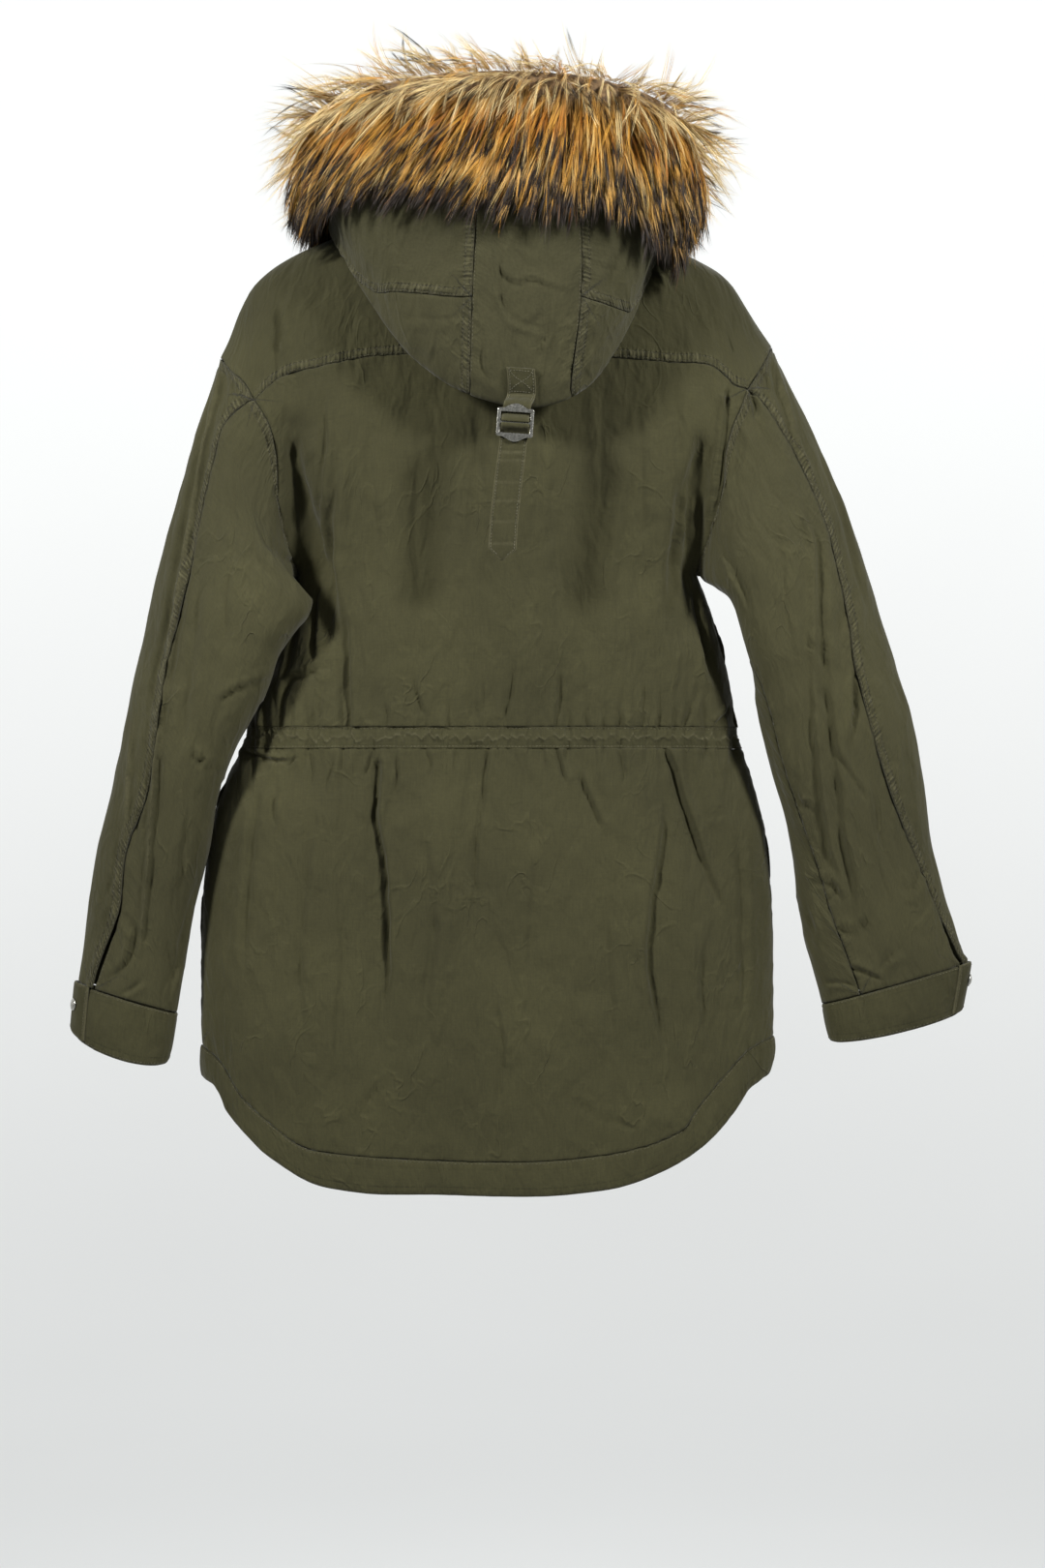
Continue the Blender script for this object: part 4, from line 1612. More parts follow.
def skirt(name, x0, x1, side, raise_by, mat):
    top_z = WAIST_BOTTOM - HALF
    a = at_height(SIDE_LEFT, top_z) if x0 is None else x0
    b = at_height(SIDE_RIGHT, top_z) if x1 is None else x1
    top = straight((a, top_z), (b, top_z), 300)
    lo = -264 if x0 is None else x0
    hi = 251 if x1 is None else x1
    bottom = beside(hem_between(HEM_SEAM, lo, hi, 0.0, raise_by)(np.linspace(0, 1, 500)), HALF)
    bottom[0, 0], bottom[-1, 0] = lo, hi

    def edge(rows, at, fixed):
        if fixed is not None:
            return straight((fixed, top_z), at, 200)
        mid = [p for p in rows if top_z - 3 > p[1] > at[1] + 8]
        run = Run([(at_height(rows, top_z), top_z)] + mid + [tuple(at)])
        return run(np.linspace(0, 1, 200))

    left, right = edge(SIDE_LEFT, bottom[0], x0), edge(SIDE_RIGHT, bottom[-1], x1)
    step = 3.0 if side < 0 else PLAIN_STEP
    pts = panel(top, bottom, left, right, side, step=step)
    c = Cloth(pts, (0.4, 0.5, BACK if side < 0 else FRONT), 51 + (side > 0) + (x0 is None))
    c.soft(1.2, 0.15, 90)
    away = np.minimum(c.edge["left"], c.edge["right"]) if side < 0 else (
        c.edge["left"] if x0 is None else c.edge["right"])
    c.h *= 0.3 + 0.7 * ease(away / 18)
    rows = CREASES["skirt"] if side < 0 else CREASES["skirt_front"]
    c.h += creases(rows, c.x, c.z)
    waist_gathers(c, False, 5 if side < 0 else 35, 1.7, 30.0)
    # small puckers above the hem band's seam
    d = c.edge["bottom"]
    s = c.across + 900
    c.h += (0.5 * rumple(s, 7.5, 91) + 0.4 * rumple(s, 15, 92)) * np.exp(-((d / 13) ** 1.5))
    c.seam("bottom", "under", 5)
    if x0 is None:
        c.seam("left", "plain", 6)
    if x1 is None:
        c.seam("right", "plain", 7)
    ob = shell("cloth_skirt_" + name, c, mat, "skirt_" + name)
    sheet(ob, c, 1.05)
    return c


def hem_band(name, x0, x1, side, raise_by, mat):
    lo = -264 if x0 is None else x0
    hi = 251 if x1 is None else x1
    s = np.linspace(0, 1, 500)
    top = beside(hem_between(HEM_SEAM, lo, hi, 0.0, raise_by)(s), -HALF)
    top[0, 0], top[-1, 0] = lo, hi
    bottom = hem_between(HEM_EDGE, lo, hi, 0.0, raise_by)(s)
    left, right = straight(top[0], bottom[0]), straight(top[-1], bottom[-1])
    w = steps(620 if x0 is None and x1 is None else 320, 2.6 if side < 0 else 4.4)
    r = np.linspace(0, 1, 25 if side < 0 else 15)
    xz = patch(resample(top, w), resample(bottom, w), resample(left, r), resample(right, r))
    c = Cloth(on_body(xz, side), (0.5, 0.5, BACK if side < 0 else FRONT), 71 + side)
    t = c.edge["top"] / (c.edge["top"] + c.edge["bottom"])
    c.h += 1.1 * np.sin(np.pi * t) ** 0.7 - 0.1
    s = c.across + 900
    fade = np.sin(np.pi * np.clip(t, 0, 1)) * 0.6 + 0.4
    c.h += (0.42 * rumple(s + 4 * t, 8.5, 93) + 0.5 * rumple(s - 6 * t, 21, 94)) * fade
    c.seam("top", "plain", 8).seam("bottom", "hem", 9)
    ob = shell("cloth_hem_" + name, c, mat, "hem_band_" + name)
    sheet(ob, c, 1.03)
    stitch("body", *c.row("top", 1.6), seed=63, pitch=3.6)
    return c


def upper_front(word, hand, mat):
    seam = beside(front_seam_points(hand), hand * -HALF)
    neck = Run([(-hand * x, z) for x, z in NECK_FRONT_LEFT[:-1]] + [tuple(seam[0])])
    neck = neck(np.linspace(0, 1, 120))
    neck[0, 0] = hand * HALF
    seam = resample(seam, np.linspace(0, 1, 150))
    top = np.vstack([neck[:-1], seam])
    arm = arm_run(hand, front_join(hand), 1)
    side = side_line(hand, UNDERARM_Z, WAIST_TOP + HALF)
    outer = np.vstack([arm, side[1:]])
    outer[0] = top[-1]
    inner = straight(top[0], (hand * HALF, WAIST_TOP + HALF), 300)
    bottom = straight(inner[-1], outer[-1], 200)
    # columns keep the neck's corner, so each part of the top is sampled on its own
    count = lambda q, st, **k: steps(np.linalg.norm(np.diff(q, axis=0), axis=1).sum(), st, **k)
    w1, w2 = count(neck, 3.6, last=False), count(seam, 4.4, first=False)
    top_s = np.vstack([resample(neck, w1)[:-1], resample(seam, w2)])
    cut = len(w1) - 1
    share = 0.42
    w = np.r_[w1[:-1] * share, share + w2 * (1 - share)]
    r = steps(470, PLAIN_STEP, 1.8)
    xz = patch(top_s, resample(bottom, w), resample(inner, r), resample(outer, r))
    c = Cloth(on_body(xz, 1), (0.6, 0.5, FRONT), 81 + hand)
    c.soft(1.0, 0.15, 80)
    out = c.edge["right"]
    c.h *= 0.3 + 0.7 * ease(out / 20)
    c.h += creases(CREASES["front"], c.x, c.z)
    c.seam("top", "plain", 10).seam("right", "plain", 11)
    waist_gathers(c, True, 35 + hand, 1.3, 30.0)
    ob = shell("cloth_front_" + word, c, mat, "front_" + word)
    sheet(ob, c, 1.04)
    stitch("body", *c.row("top", 1.8, (cut / (len(w) - 1), 1)), seed=65, pitch=3.6)
    return c


def placket(mat, parts):
    half = PLACKET_WIDTH / 2
    low = hem_between(HEM_EDGE, -half - 4, half + 4, 0.0, FRONT_RAISE).points
    z_low = float(np.mean([p[1] for p in low])) + 1.0
    r = steps(750, 5.0, 1.2)
    cols = np.array([-1, -0.94, -0.87, -0.80, -0.6, -0.3, 0, 0.3, 0.6, 0.80, 0.87, 0.94, 1]) * half
    z = -158 + (z_low + 158) * r
    xz = np.stack(np.meshgrid(cols, z), -1)
    start = np.interp(np.abs(cols), [0, 30, 55], [-160, -157, -146]) - 1.0
    k = ease((-158 - z) / 60)[:, None]
    xz[..., 1] = xz[..., 1] * k + (xz[..., 1] + (start + 158)[None]) * (1 - k)
    p = on_body(xz, 1, CLOTH + LIFT)
    p[..., 1] += 2.6 * np.exp(-(((xz[..., 1] + 540) / 22) ** 2))
    c = Cloth(p, (0.5, 0.5, FRONT), 85)
    c.soft(0.35, 0.15, 50)
    # it lies flat on the front edges, and its outside may swell a little
    c.h = np.clip(c.h, -0.2, 1.5)
    c.h += gathers(c.x, np.abs(c.z + 540), 87, 7.0, 0.8, 22.0)
    for e in ("left", "right"):
        c.seam(e, "hem", 12).groove(e, 6.5, 0.35)
    c.seam("top", "hem", 13).seam("bottom", "hem", 14)
    ob = shell("cloth_placket", c, mat, "front_placket")
    sheet(ob, c)
    for e in ("left", "right"):
        stitch("body", *c.row(e, 6.5), seed=67, pitch=3.6)
        stitch("body", *c.row(e, 1.4), seed=68, pitch=3.6)


# ================================================================ sleeves and cuffs
def sleeve_places(surface, end, step):
    """Ring numbers down a sleeve, about a step apart and closer at both ends."""
    t = np.linspace(0, end, 900)
    total = np.zeros(len(t))
    for angle in (0.0, 90.0, 180.0, 270.0):
        p = surface(t, angle)
        total += np.r_[0, np.cumsum(np.linalg.norm(np.diff(p, axis=0), axis=1))]
    total /= 4
    return np.interp(steps(total[-1], step, 1.2) * total[-1], total, t)


def sleeve_relief(c, hand, t, rows):
    word = "left" if hand < 0 else "right"
    facing = ease((-c.n[..., 1] + 0.15) / 0.5)
    behind = ease((c.n[..., 1] + 0.15) / 0.5)
    calm = ease(t / 0.9)[:, None]
    c.soft(1.3, 0.2, 62)
    c.h *= 0.25 + 0.75 * calm
    c.h += creases(CREASES["sleeve_" + word], c.x, c.z) * facing
    c.wear += 0.05 + (0.34 if hand < 0 else 0.12) * crests(
        CREASES["sleeve_" + word], c.x, c.z) * facing
    c.h += creases(CREASES["sleeve_" + word], c.x + 7 * hand, c.z + 16) * behind * 0.8
    # soft rings of slack over the elbow, and above the cuff
    for at, tall, size in ((5.6, 1.1, 0.30), (6.5, 1.3, 0.26), (7.3, 0.9, 0.3)):
        tilt = 0.25 * np.sin(c.across / 31 + at)
        c.h += tall * np.exp(-(((t[:, None] - at - tilt) / size) ** 2)) * (
            0.4 + 0.6 * billow(c.across + 300, c.down + 300, 45, 5))
    over = ease((hand * (at_body_edge(c.z, hand) - c.x) + 4) / 10)
    c.h = np.where(over > 0, c.h * (1 - over) + np.clip(c.h, -1.2, 2.0) * over, c.h)


def make_sleeve(hand, mat):
    word = "left" if hand < 0 else "right"
    surface, rows = sleeve_surface(hand)
    end = len(rows) - 1
    t = sleeve_places(surface, end - 0.004, 5.2)
    back, under = seam_angles(rows, t, hand)
    k = np.arange(len(rows))
    width = np.hypot(
        cubic(k, column(rows, "ox", SLEEVE_COLUMNS), t) - cubic(k, column(rows, "ix", SLEEVE_COLUMNS), t),
        cubic(k, column(rows, "oz", SLEEVE_COLUMNS), t) - cubic(k, column(rows, "iz", SLEEVE_COLUMNS), t),
    )
    open_by = np.clip((t - (end - VENT_RINGS)) / VENT_RINGS, 0, 1)
    open_by = np.clip((open_by - 0.3) / 0.7, 0, 1)
    gap = 2 * HALF + 0.2 + VENT_WIDTH * width * np.sin(np.pi * open_by * 0.8) * (open_by > 0.0)
    turn = gap / degree_length(surface, t, back)
    wide = 2 * HALF + 0.3 + 4.6 * np.exp(-(((t - 0.55) / 0.5) ** 2))
    small = wide / degree_length(surface, t, under)
    for part, a0, a1, span, st in (
        ("back", back + turn / 2, under - small / 2, 150, 2.3),
        ("top", under + small / 2, back - turn / 2 + 360, 190, 3.0),
    ):
        s = steps(span, st, 1.1)
        angles = (a0[:, None] + (a1 - a0)[:, None] * s[None]) % 360
        c = Cloth(surface(t[:, None], angles), (0.5, 0.5, BACK if part == "back" else FRONT),
                  101 + hand * 3 + (part == "top"))
        sleeve_relief(c, hand, t, rows)
        vent = ease((t - (end - VENT_RINGS * 0.66)) / 0.2)[:, None]
        seam_edge = "left" if part == "back" else "right"
        if part == "top":
            c.seam(seam_edge, "felled", 21)
        else:
            c.seam(seam_edge, "under", 22)
        c.seam("right" if part == "back" else "left", "plain", 24)
        if part == "top":
            c.seam("top", "felled", 25)
        else:
            c.seam("top", "felled", 26)
        c.seam("bottom", "under", 27)
        # the edges of the vent stand out a little, as they do when it gapes
        d = c.edge[seam_edge]
        c.h += vent * 1.6 * np.exp(-((d / 7.0) ** 2)) * (1 if part == "top" else 0.4)
        ob = shell(f"cloth_sleeve_{part}_{word}", c, mat, f"sleeve_{part}_{word}")
        sheet(ob, c, 1.04)
        if part == "top":
            double_row(c, "sleeves", seam_edge, (0.004, 0.985), seed=31)
            double_row(c, "sleeves", "top", (0.02, 0.98), seed=33)
        else:
            stitch("sleeves", *c.row(seam_edge, 1.6, (0.84, 0.99)), seed=35)
            double_row(c, "sleeves", "top", (0.02, 0.98), seed=36)


def make_cuff(hand, mat, trim, metal):
    word = "left" if hand < 0 else "right"
    a0, a1 = CUFF_TAB[word]
    middle = (a0 + a1) / 2
    share = 0.02 + 0.98 * steps(27, 1.5, 1.0)
    angles = middle + 0.6 + np.linspace(0, 358.8, 121)
    p = cuff_point(hand, share[:, None], angles[None] % 360, 0.4)
    at = (90 - middle - 0.6) / 358.8
    c = Cloth(p, (0.5, at, BACK), 121 + hand)
    t = c.edge["top"] / (c.edge["top"] + c.edge["bottom"])
    c.h += 0.9 * np.sin(np.pi * t) ** 0.7
    s = c.across + 900
    c.h += 0.42 * rumple(s, 6.5, 131 + hand) * (0.4 + 0.6 * np.sin(np.pi * t))
    c.seam("top", "plain", 31).seam("bottom", "hem", 32).groove("top", 4.0, 0.35)
    ob = shell(f"cloth_cuff_{word}", c, mat, f"cuff_{word}")
    sheet(ob, c)
    stitch("sleeves", *c.row("top", 1.6), seed=41, pitch=3.2)
    stitch("sleeves", *c.row("bottom", 2.2), seed=42, pitch=3.2)
    # the tab
    lift = 0.4 + CLOTH / 2 + LIFT + TRIM_WALL / 2
    share = -0.02 + 0.98 * steps(27, 1.3, 0.9)
    angles = np.linspace(a0, a1, 19)
    p = cuff_point(hand, share[:, None], angles[None] % 360, lift)
    c = Cloth(p, (0.5, 0.5, p[len(share) // 2, 9] - (cuff_point(
        hand, np.array(0.5), np.array(0.0), 0.0) + cuff_point(
        hand, np.array(0.5), np.array(180.0), 0.0)) / 2), 125 + hand)
    rim = np.minimum(np.minimum(c.edge["left"], c.edge["right"]),
                     np.minimum(c.edge["top"], c.edge["bottom"]))
    c.h += 0.45 - 0.6 * np.exp(-((rim / 0.9) ** 2)) - 0.3 * np.exp(-(((rim - 2.4) / 0.8) ** 2))
    c.wear += 0.6 * np.exp(-((rim / 1.2) ** 2))
    ob = shell(f"cloth_cuff_tab_{word}", c, trim, f"cuff_tab_{word}", wall=1.4)
    sheet(ob, c)
    for e in ("left", "right", "top", "bottom"):
        stitch("sleeves", *c.row(e, 2.4, (0.1, 0.9)), seed=43, pitch=2.6, radius=0.24)
    make_snap(hand, word, a0, a1, lift, metal)


def make_snap(hand, word, a0, a1, lift, metal):
    """A metal snap: a domed cap with a turned rim and a shallow ring."""
    base_lift = lift + TRIM_WALL / 2 + 0.35
    share = 0.62
    if word == "left":  # this one is turned a little toward the back of the coat
        depth = [cuff_point(hand, np.array(0.45), np.array((a0 + (a1 - a0) * s) % 360),
                            base_lift)[..., 1].item() for s in (0.35, 0.65)]
        share = 0.35 if depth[0] < depth[1] else 0.65
    at = a0 + (a1 - a0) * share
    base = cuff_point(hand, np.array(0.45), np.array(at % 360), base_lift)
    tip = cuff_point(hand, np.array(0.45), np.array(at % 360), base_lift + 1.0)
    axis = Vector(tip - base).normalized()
    profile = [(0, -0.35), (5.1, -0.35), (5.55, 0.0), (5.7, 0.45), (5.5, 0.95), (5.0, 1.2),
               (4.55, 1.1), (4.3, 1.2), (4.0, 1.55), (3.1, 2.05), (2.0, 2.35), (1.0, 2.5),
               (0, 2.55)]
    n = 32
    verts, faces = [], []
    for x, z in profile:
        for k in range(n):
            a = 2 * math.pi * k / n
            verts.append((x * math.cos(a), x * math.sin(a), z))
    for r in range(len(profile) - 1):
        for k in range(n):
            a, b = r * n + k, r * n + (k + 1) % n
            faces.append((a, b, b + n, a + n))
    ob = mesh_object(f"metal_snap_{word}", verts, faces, metal)
    bm = bmesh.new()
    bm.from_mesh(ob.data)
    bmesh.ops.remove_doubles(bm, verts=bm.verts, dist=1e-6)
    bmesh.ops.recalc_face_normals(bm, faces=bm.faces)
    bm.to_mesh(ob.data)
    bm.free()
    ob.data.shade_smooth()
    turn = Vector((0, 0, 1)).rotation_difference(axis).to_matrix().to_4x4()
    ob.data.transform(Matrix.Translation(Vector(base) * MM) @ turn)
    finish(ob, f"snap_{word}")


# ================================================================ hood
def hood_grid(v0, v1, t0, t1, s, r):
    grid_v = np.zeros((len(r), len(s)))
    grid_t = np.zeros_like(grid_v)
    for _ in range(6):
        for i in range(len(r)):
            a, b = v0(grid_t[i, 0]), v1(grid_t[i, -1])
            grid_v[i] = a + (b - a) * s
            grid_t[i] = t0(grid_v[i]) + (t1(grid_v[i]) - t0(grid_v[i])) * r[i]
    return hood_surface(grid_v, grid_t), grid_v, grid_t


def hood_rows(v, fine=1.2, coarse=3.2):
    """Places t from the neck seam to the rim: coarse inside, fine at the fold."""
    t = np.linspace(0, 1, 2000)
    p = hood_surface(np.full(t.shape, v), t)
    c = np.r_[0, np.cumsum(np.linalg.norm(np.diff(p, axis=0), axis=1))]
    fold = np.interp(FOLD_T, t, c)
    size = np.where(c < fold - 40, 6.5, coarse)
    size = np.minimum(size, 1.5 + 0.05 * np.abs(c - fold))
    size = np.minimum(size, fine + 0.12 * (c[-1] - c))
    count = np.r_[0, np.cumsum(np.diff(c) / size[1:])]
    n = int(math.ceil(count[-1] / 2)) * 2
    return np.interp(np.linspace(0, count[-1], n + 1), count, t)


def hood_relief(c, t, side):
    out = ease((t - FOLD_T + 0.02) / 0.05)
    c.soft(1.0, 0.22, 55)
    c.h *= 0.35 + 0.65 * out
    c.h += creases(CREASES["hood"], c.x, c.z) * out
    c.wear += 0.12
    c.h -= 0.35 * np.exp(-(((t - FOLD_T) / 0.006) ** 2))


def make_hood(mat):
    left, right = CENTRE_SEAMS
    gap = 2 * HALF + 0.1
    edge = lambda v, sign: (lambda t: v + sign * hood_step(v, t, gap / 2))
    fixed = lambda v: (lambda t: v)
    level = lambda t: (lambda v: np.full(np.shape(v), float(t)))
    s = steps(74, 2.6, 1.0)
    p, gv, gt = hood_grid(edge(left, 1), edge(right, -1), level(0), level(1), s, hood_rows(0.54))
    c = Cloth(p, (0.7, 0.5, BACK), 141)
    hood_relief(c, gt, 0)
    c.seam("left", "under", 41).seam("right", "under", 42).seam("bottom", "hem", 43)
    c.seam("top", "plain", 44)
    ob = shell("cloth_hood_centre", c, mat, "hood_centre")
    sheet(ob, c, 1.03)
    stitch("hood", *c.row("left", 1.4, (0.40, 0.97)), seed=51)
    stitch("hood", *c.row("right", 1.4, (0.40, 0.97)), seed=52)
    for word, cross, v0, v1 in (
        ("left", CROSS_LEFT, fixed(0.0), edge(left, -1)),
        ("right", CROSS_RIGHT, edge(right, 1), fixed(1.0)),
    ):
        xs, ys = zip(*cross)
        seam = lambda v, xs=xs, ys=ys: cubic(xs, ys, v)
        above = lambda v, f=seam: f(v) + hood_rise(v, f(v), gap / 2 + 0.15)
        below = lambda v, f=seam: f(v) - hood_rise(v, f(v), gap / 2 + 0.15)
        middle_edge = "right" if word == "left" else "left"
        s = steps(400, 3.8, 1.1, first=word == "right", last=word == "left")
        for part, t0, t1, r in (
            ("upper", above, level(1), steps(260, 3.6, 1.1)),
            ("lower", level(0), below, steps(260, 6.0, 1.2, first=False)),
        ):
            p, gv, gt = hood_grid(v0, v1, t0, t1, s, r)
            col = 0.8 if word == "left" else 0.2
            row = 0.5 if part == "upper" else 0.5
            want = hood_normal(gv, gt)
            c = Cloth(p, (row, col, BACK), 151 + len(part) + (word == "left") * 7)
            mid = (int(row * (p.shape[0] - 1)), int(col * (p.shape[1] - 1)))
            if np.dot(c.n[mid], want[mid] * HOOD_OUT) < 0:
                c.n, c.turned = -c.n, not c.turned
            hood_relief(c, gt, -1 if word == "left" else 1)
            c.seam(middle_edge, "felled", 45 + len(part))
            if part == "upper":
                c.seam("top", "felled", 46).seam("bottom", "hem", 47)
            else:
                c.seam("bottom", "under", 48).seam("top", "plain", 49)
            ob = shell(f"cloth_hood_side_{part}_{word}", c, mat, f"hood_side_{part}_{word}")
            sheet(ob, c, 1.03)
            double_row(c, "hood", middle_edge, (0.0, 0.98) if part == "upper" else (0.3, 1.0),
                       seed=53)
            if part == "upper":
                double_row(c, "hood", "top", (0.35, 0.99) if word == "left" else (0.01, 0.6),
                           seed=55)


def hood_out_sign():
    n = hood_normal(np.array(0.54), np.array(0.75))
    return 1.0 if n[1] < 0 else -1.0


# ================================================================ strap, buckle
def strap_band(name, middles, widths, trim, node, rows_at, seed):
    m = np.asarray(middles, float)
    path = Run(m)
    n = int(math.ceil(path.length / 1.15 / 2)) * 2
    share = np.linspace(0, 1, n + 1)
    dense = path(share)
    chord = np.r_[0, np.cumsum(np.linalg.norm(np.diff(m, axis=0), axis=1))]
    w = np.interp(share, chord / chord[-1], widths)
    a = math.radians(BUCKLE_TILT)
    across = np.array([math.cos(a), 0, -math.sin(a)]) * -1
    cols = np.array([-0.5, -0.485, -0.45, -0.40, -0.33, -0.2, 0, 0.2, 0.33, 0.40, 0.45,
                     0.485, 0.5])
    grid = dense[:, None] - across[None, None] * (w[:, None] * cols[None])[..., None]
    c = Cloth(grid, (0.2, 0.5, BACK), seed)
    side = np.minimum(c.edge["left"], c.edge["right"])
    c.h += -0.35 * np.exp(-((side / 0.7) ** 2)) - 0.28 * np.exp(-(((side - 2.0) / 0.8) ** 2))
    c.h += 0.22 * rumple(c.down + 50, 7.5, seed) * np.exp(-(((side - 12) / 14) ** 2))
    c.wear += 0.75 * np.exp(-((side / 0.9) ** 2))
    for z, strong in rows_at:
        c.h -= 0.5 * strong * np.exp(-(((c.z - z) / 0.9) ** 2))
        c.wear += 0.5 * strong * np.exp(-(((c.z - z + 1.6) / 1.1) ** 2))
    ob = shell(name, c, trim, node, wall=TRIM_WALL - 0.2)
    sheet(ob, c)
    return c


def make_strap(trim, metal):
    lift = CLOTH / 2 + LIFT + TRIM_WALL / 2 + 0.6
    top = []
    for x, z in STRAP_TOP:
        p, v, t = hood_at(x, z)
        n = hood_normal(v, t)
        if n[1] > 0:
            n = -n
        top.append(p + n * lift)
    top = np.array(top)
    cx, cy, cz = BUCKLE_CENTRE
    bar = BUCKLE_THICK / 2 + TRIM_WALL / 2 + LIFT
    half = BUCKLE_HEIGHT / 2
    over = [
        (20.8, cy + bar + 0.2, cz + half + 4.0), (19.2, cy + bar + 0.3, cz + 8.0),
        (19.0, cy, cz + 5.4), (18.8, cy - bar - 0.2, cz + 2.9),
        (18.7, cy - bar - 0.2, cz + 0.5),
    ]
    upper = np.vstack([top, over])
    w = np.r_[np.full(len(top), STRAP_WIDTH), STRAP_WIDTH - 0.4, np.full(4, 24.0)]
    c = strap_band("strap_upper", upper, w, trim, "hood_strap", ((-241.5, 0.8),), 171)
    end = (0.0, 0.62)
    for e in ("left", "right"):
        stitch("strap", *c.row(e, 2.0, end), seed=71, pitch=2.7, radius=0.26)
    box_stitches(c)
    tail = [
        (18.6, cy - bar - 0.2, cz - 0.5), (18.4, cy - bar - 0.2, cz - 2.9),
        (18.2, cy, cz - 5.4), (18.0, cy + bar + 0.3, cz - 8.0),
        (16.9, cy + bar + 0.3, cz - half - 4.5),
    ]
    drop = np.array(STRAP_DROP[3:], float)
    tip = drop[-1] + (drop[-1] - drop[-2]) / 25.2 * 10.0
    lower = np.vstack([tail, drop, drop[-1] + (tip - drop[-1]) * 0.5, tip])
    w = np.r_[np.full(5, 24.0), np.full(len(drop), STRAP_WIDTH), STRAP_WIDTH * 0.52, 2.0]
    marks = ((-292, 0.7), (-299, 0.5), (-318, 0.4), (-334, 0.55), (-352, 0.35), (-371, 0.5))
    c = strap_band("strap_tail", lower, w, trim, "hood_strap_tail", marks, 173)
    for e in ("left", "right"):
        stitch("strap", *c.row(e, 2.0, (0.12, 0.97)), seed=73, pitch=2.7, radius=0.26)
    make_buckle(metal)


def box_stitches(c):
    """The stitched square with a cross, near the top of the strap."""
    rows = c.h.shape[0]
    o, n = c.top(), c.n
    down = c.down[:, 6]
    at = lambda d: int(np.argmin(np.abs(down - d)))
    r0, r1 = at(1.8), at(21.5)
    left, right, cols = 3, 9, c.h.shape[1]

    def spot(r, q):
        i, j = min(int(r), rows - 2), min(int(q), cols - 2)
        a, b = r - i, q - j
        mix = lambda g: (g[i, j] * (1 - a) * (1 - b) + g[i + 1, j] * a * (1 - b)
                         + g[i, j + 1] * (1 - a) * b + g[i + 1, j + 1] * a * b)
        return mix(o), mix(n)

    for (ra, qa), (rb, qb) in (
        ((r0, left), (r0, right)), ((r1, left), (r1, right)),
        ((r0, left), (r1, right)), ((r0, right), (r1, left)),
    ):
        pts, nrm = zip(*[spot(ra + (rb - ra) * s, qa + (qb - qa) * s)
                         for s in np.linspace(0, 1, 24)])
        stitch("strap", pts, nrm, seed=75, pitch=2.5, radius=0.26)


def make_buckle(metal):
    """A flat frame with rounded edges, a lobe above and below and a middle bar."""
    w, h, bar = BUCKLE_WIDTH / 2, BUCKLE_HEIGHT / 2, BUCKLE_BAR
    outline = []
    r = 2.2
    for sx, sz, a0 in ((1, 1, 0), (-1, 1, 90), (-1, -1, 180), (1, -1, 270)):
        for k in range(7):
            a = math.radians(a0 + 15 * k)
            outline.append((sx * (w - r) + r * math.cos(a), sz * (h - r) + r * math.sin(a)))
        if a0 in (0, 180):
            sign = 1 if a0 == 0 else -1
            for s in np.linspace(-0.66, 0.66, 19):
                lobe = BUCKLE_LOBE * math.cos(s / 0.66 * math.pi / 2) ** 1.2
                outline.append((-s * w * sign, sign * (h + lobe)))
    hi, wi, mid = h - bar - 0.4, w - bar, 1.1
    holes = []
    for z0, z1 in ((mid, hi), (-hi, -mid)):
        loop = []
        for sx, sz, a0 in ((1, 1, 0), (-1, 1, 90), (-1, -1, 180), (1, -1, 270)):
            for k in range(4):
                a = math.radians(a0 + 30 * k)
                x = sx * (wi - 0.9) + 0.9 * math.cos(a)
                z = (z1 if sz > 0 else z0) - sz * 0.9 + 0.9 * math.sin(a)
                loop.append((x, z))
        holes.append(loop[::-1])
    curve = bpy.data.curves.new("metal_buckle", "CURVE")
    curve.dimensions = "2D"
    curve.fill_mode = "BOTH"
    curve.bevel_depth = 0.55 * MM
    curve.bevel_resolution = 3
    curve.offset = -0.55 * MM
    curve.extrude = (BUCKLE_THICK / 2 - 0.55) * MM
    for loop in [outline] + holes:
        spline = curve.splines.new("POLY")
        spline.points.add(len(loop) - 1)
        for pt, (x, z) in zip(spline.points, loop):
            pt.co = (x * MM, z * MM, 0, 1)
        spline.use_cyclic_u = True
    ob = bpy.data.objects.new("metal_buckle", curve)
    SCENE.collection.objects.link(ob)
    ob = to_mesh(ob, metal)
    stand = Matrix.Rotation(math.radians(90), 4, "X")
    tilt = Matrix.Rotation(math.radians(BUCKLE_TILT), 4, "Y")
    ob.data.transform(Matrix.Translation(Vector(BUCKLE_CENTRE) * MM) @ tilt @ stand)
    ob.data.set_sharp_from_angle(angle=math.radians(50))
    finish(ob, "hood_buckle")


def to_mesh(ob, mat):
    deps = bpy.context.evaluated_depsgraph_get()
    me = bpy.data.meshes.new_from_object(ob.evaluated_get(deps), depsgraph=deps)
    new = bpy.data.objects.new(ob.name + "_mesh", me)
    name, old = ob.name, ob.data
    bpy.data.objects.remove(ob)
    bpy.data.curves.remove(old)
    new.name = name
    me.name = name
    SCENE.collection.objects.link(new)
    bm = bmesh.new()
    bm.from_mesh(me)
    bmesh.ops.remove_doubles(bm, verts=bm.verts, dist=1e-6)
    bmesh.ops.recalc_face_normals(bm, faces=bm.faces)
    bm.to_mesh(me)
    bm.free()
    me.shade_smooth()
    me.materials.clear()
    me.materials.append(mat)
    return new


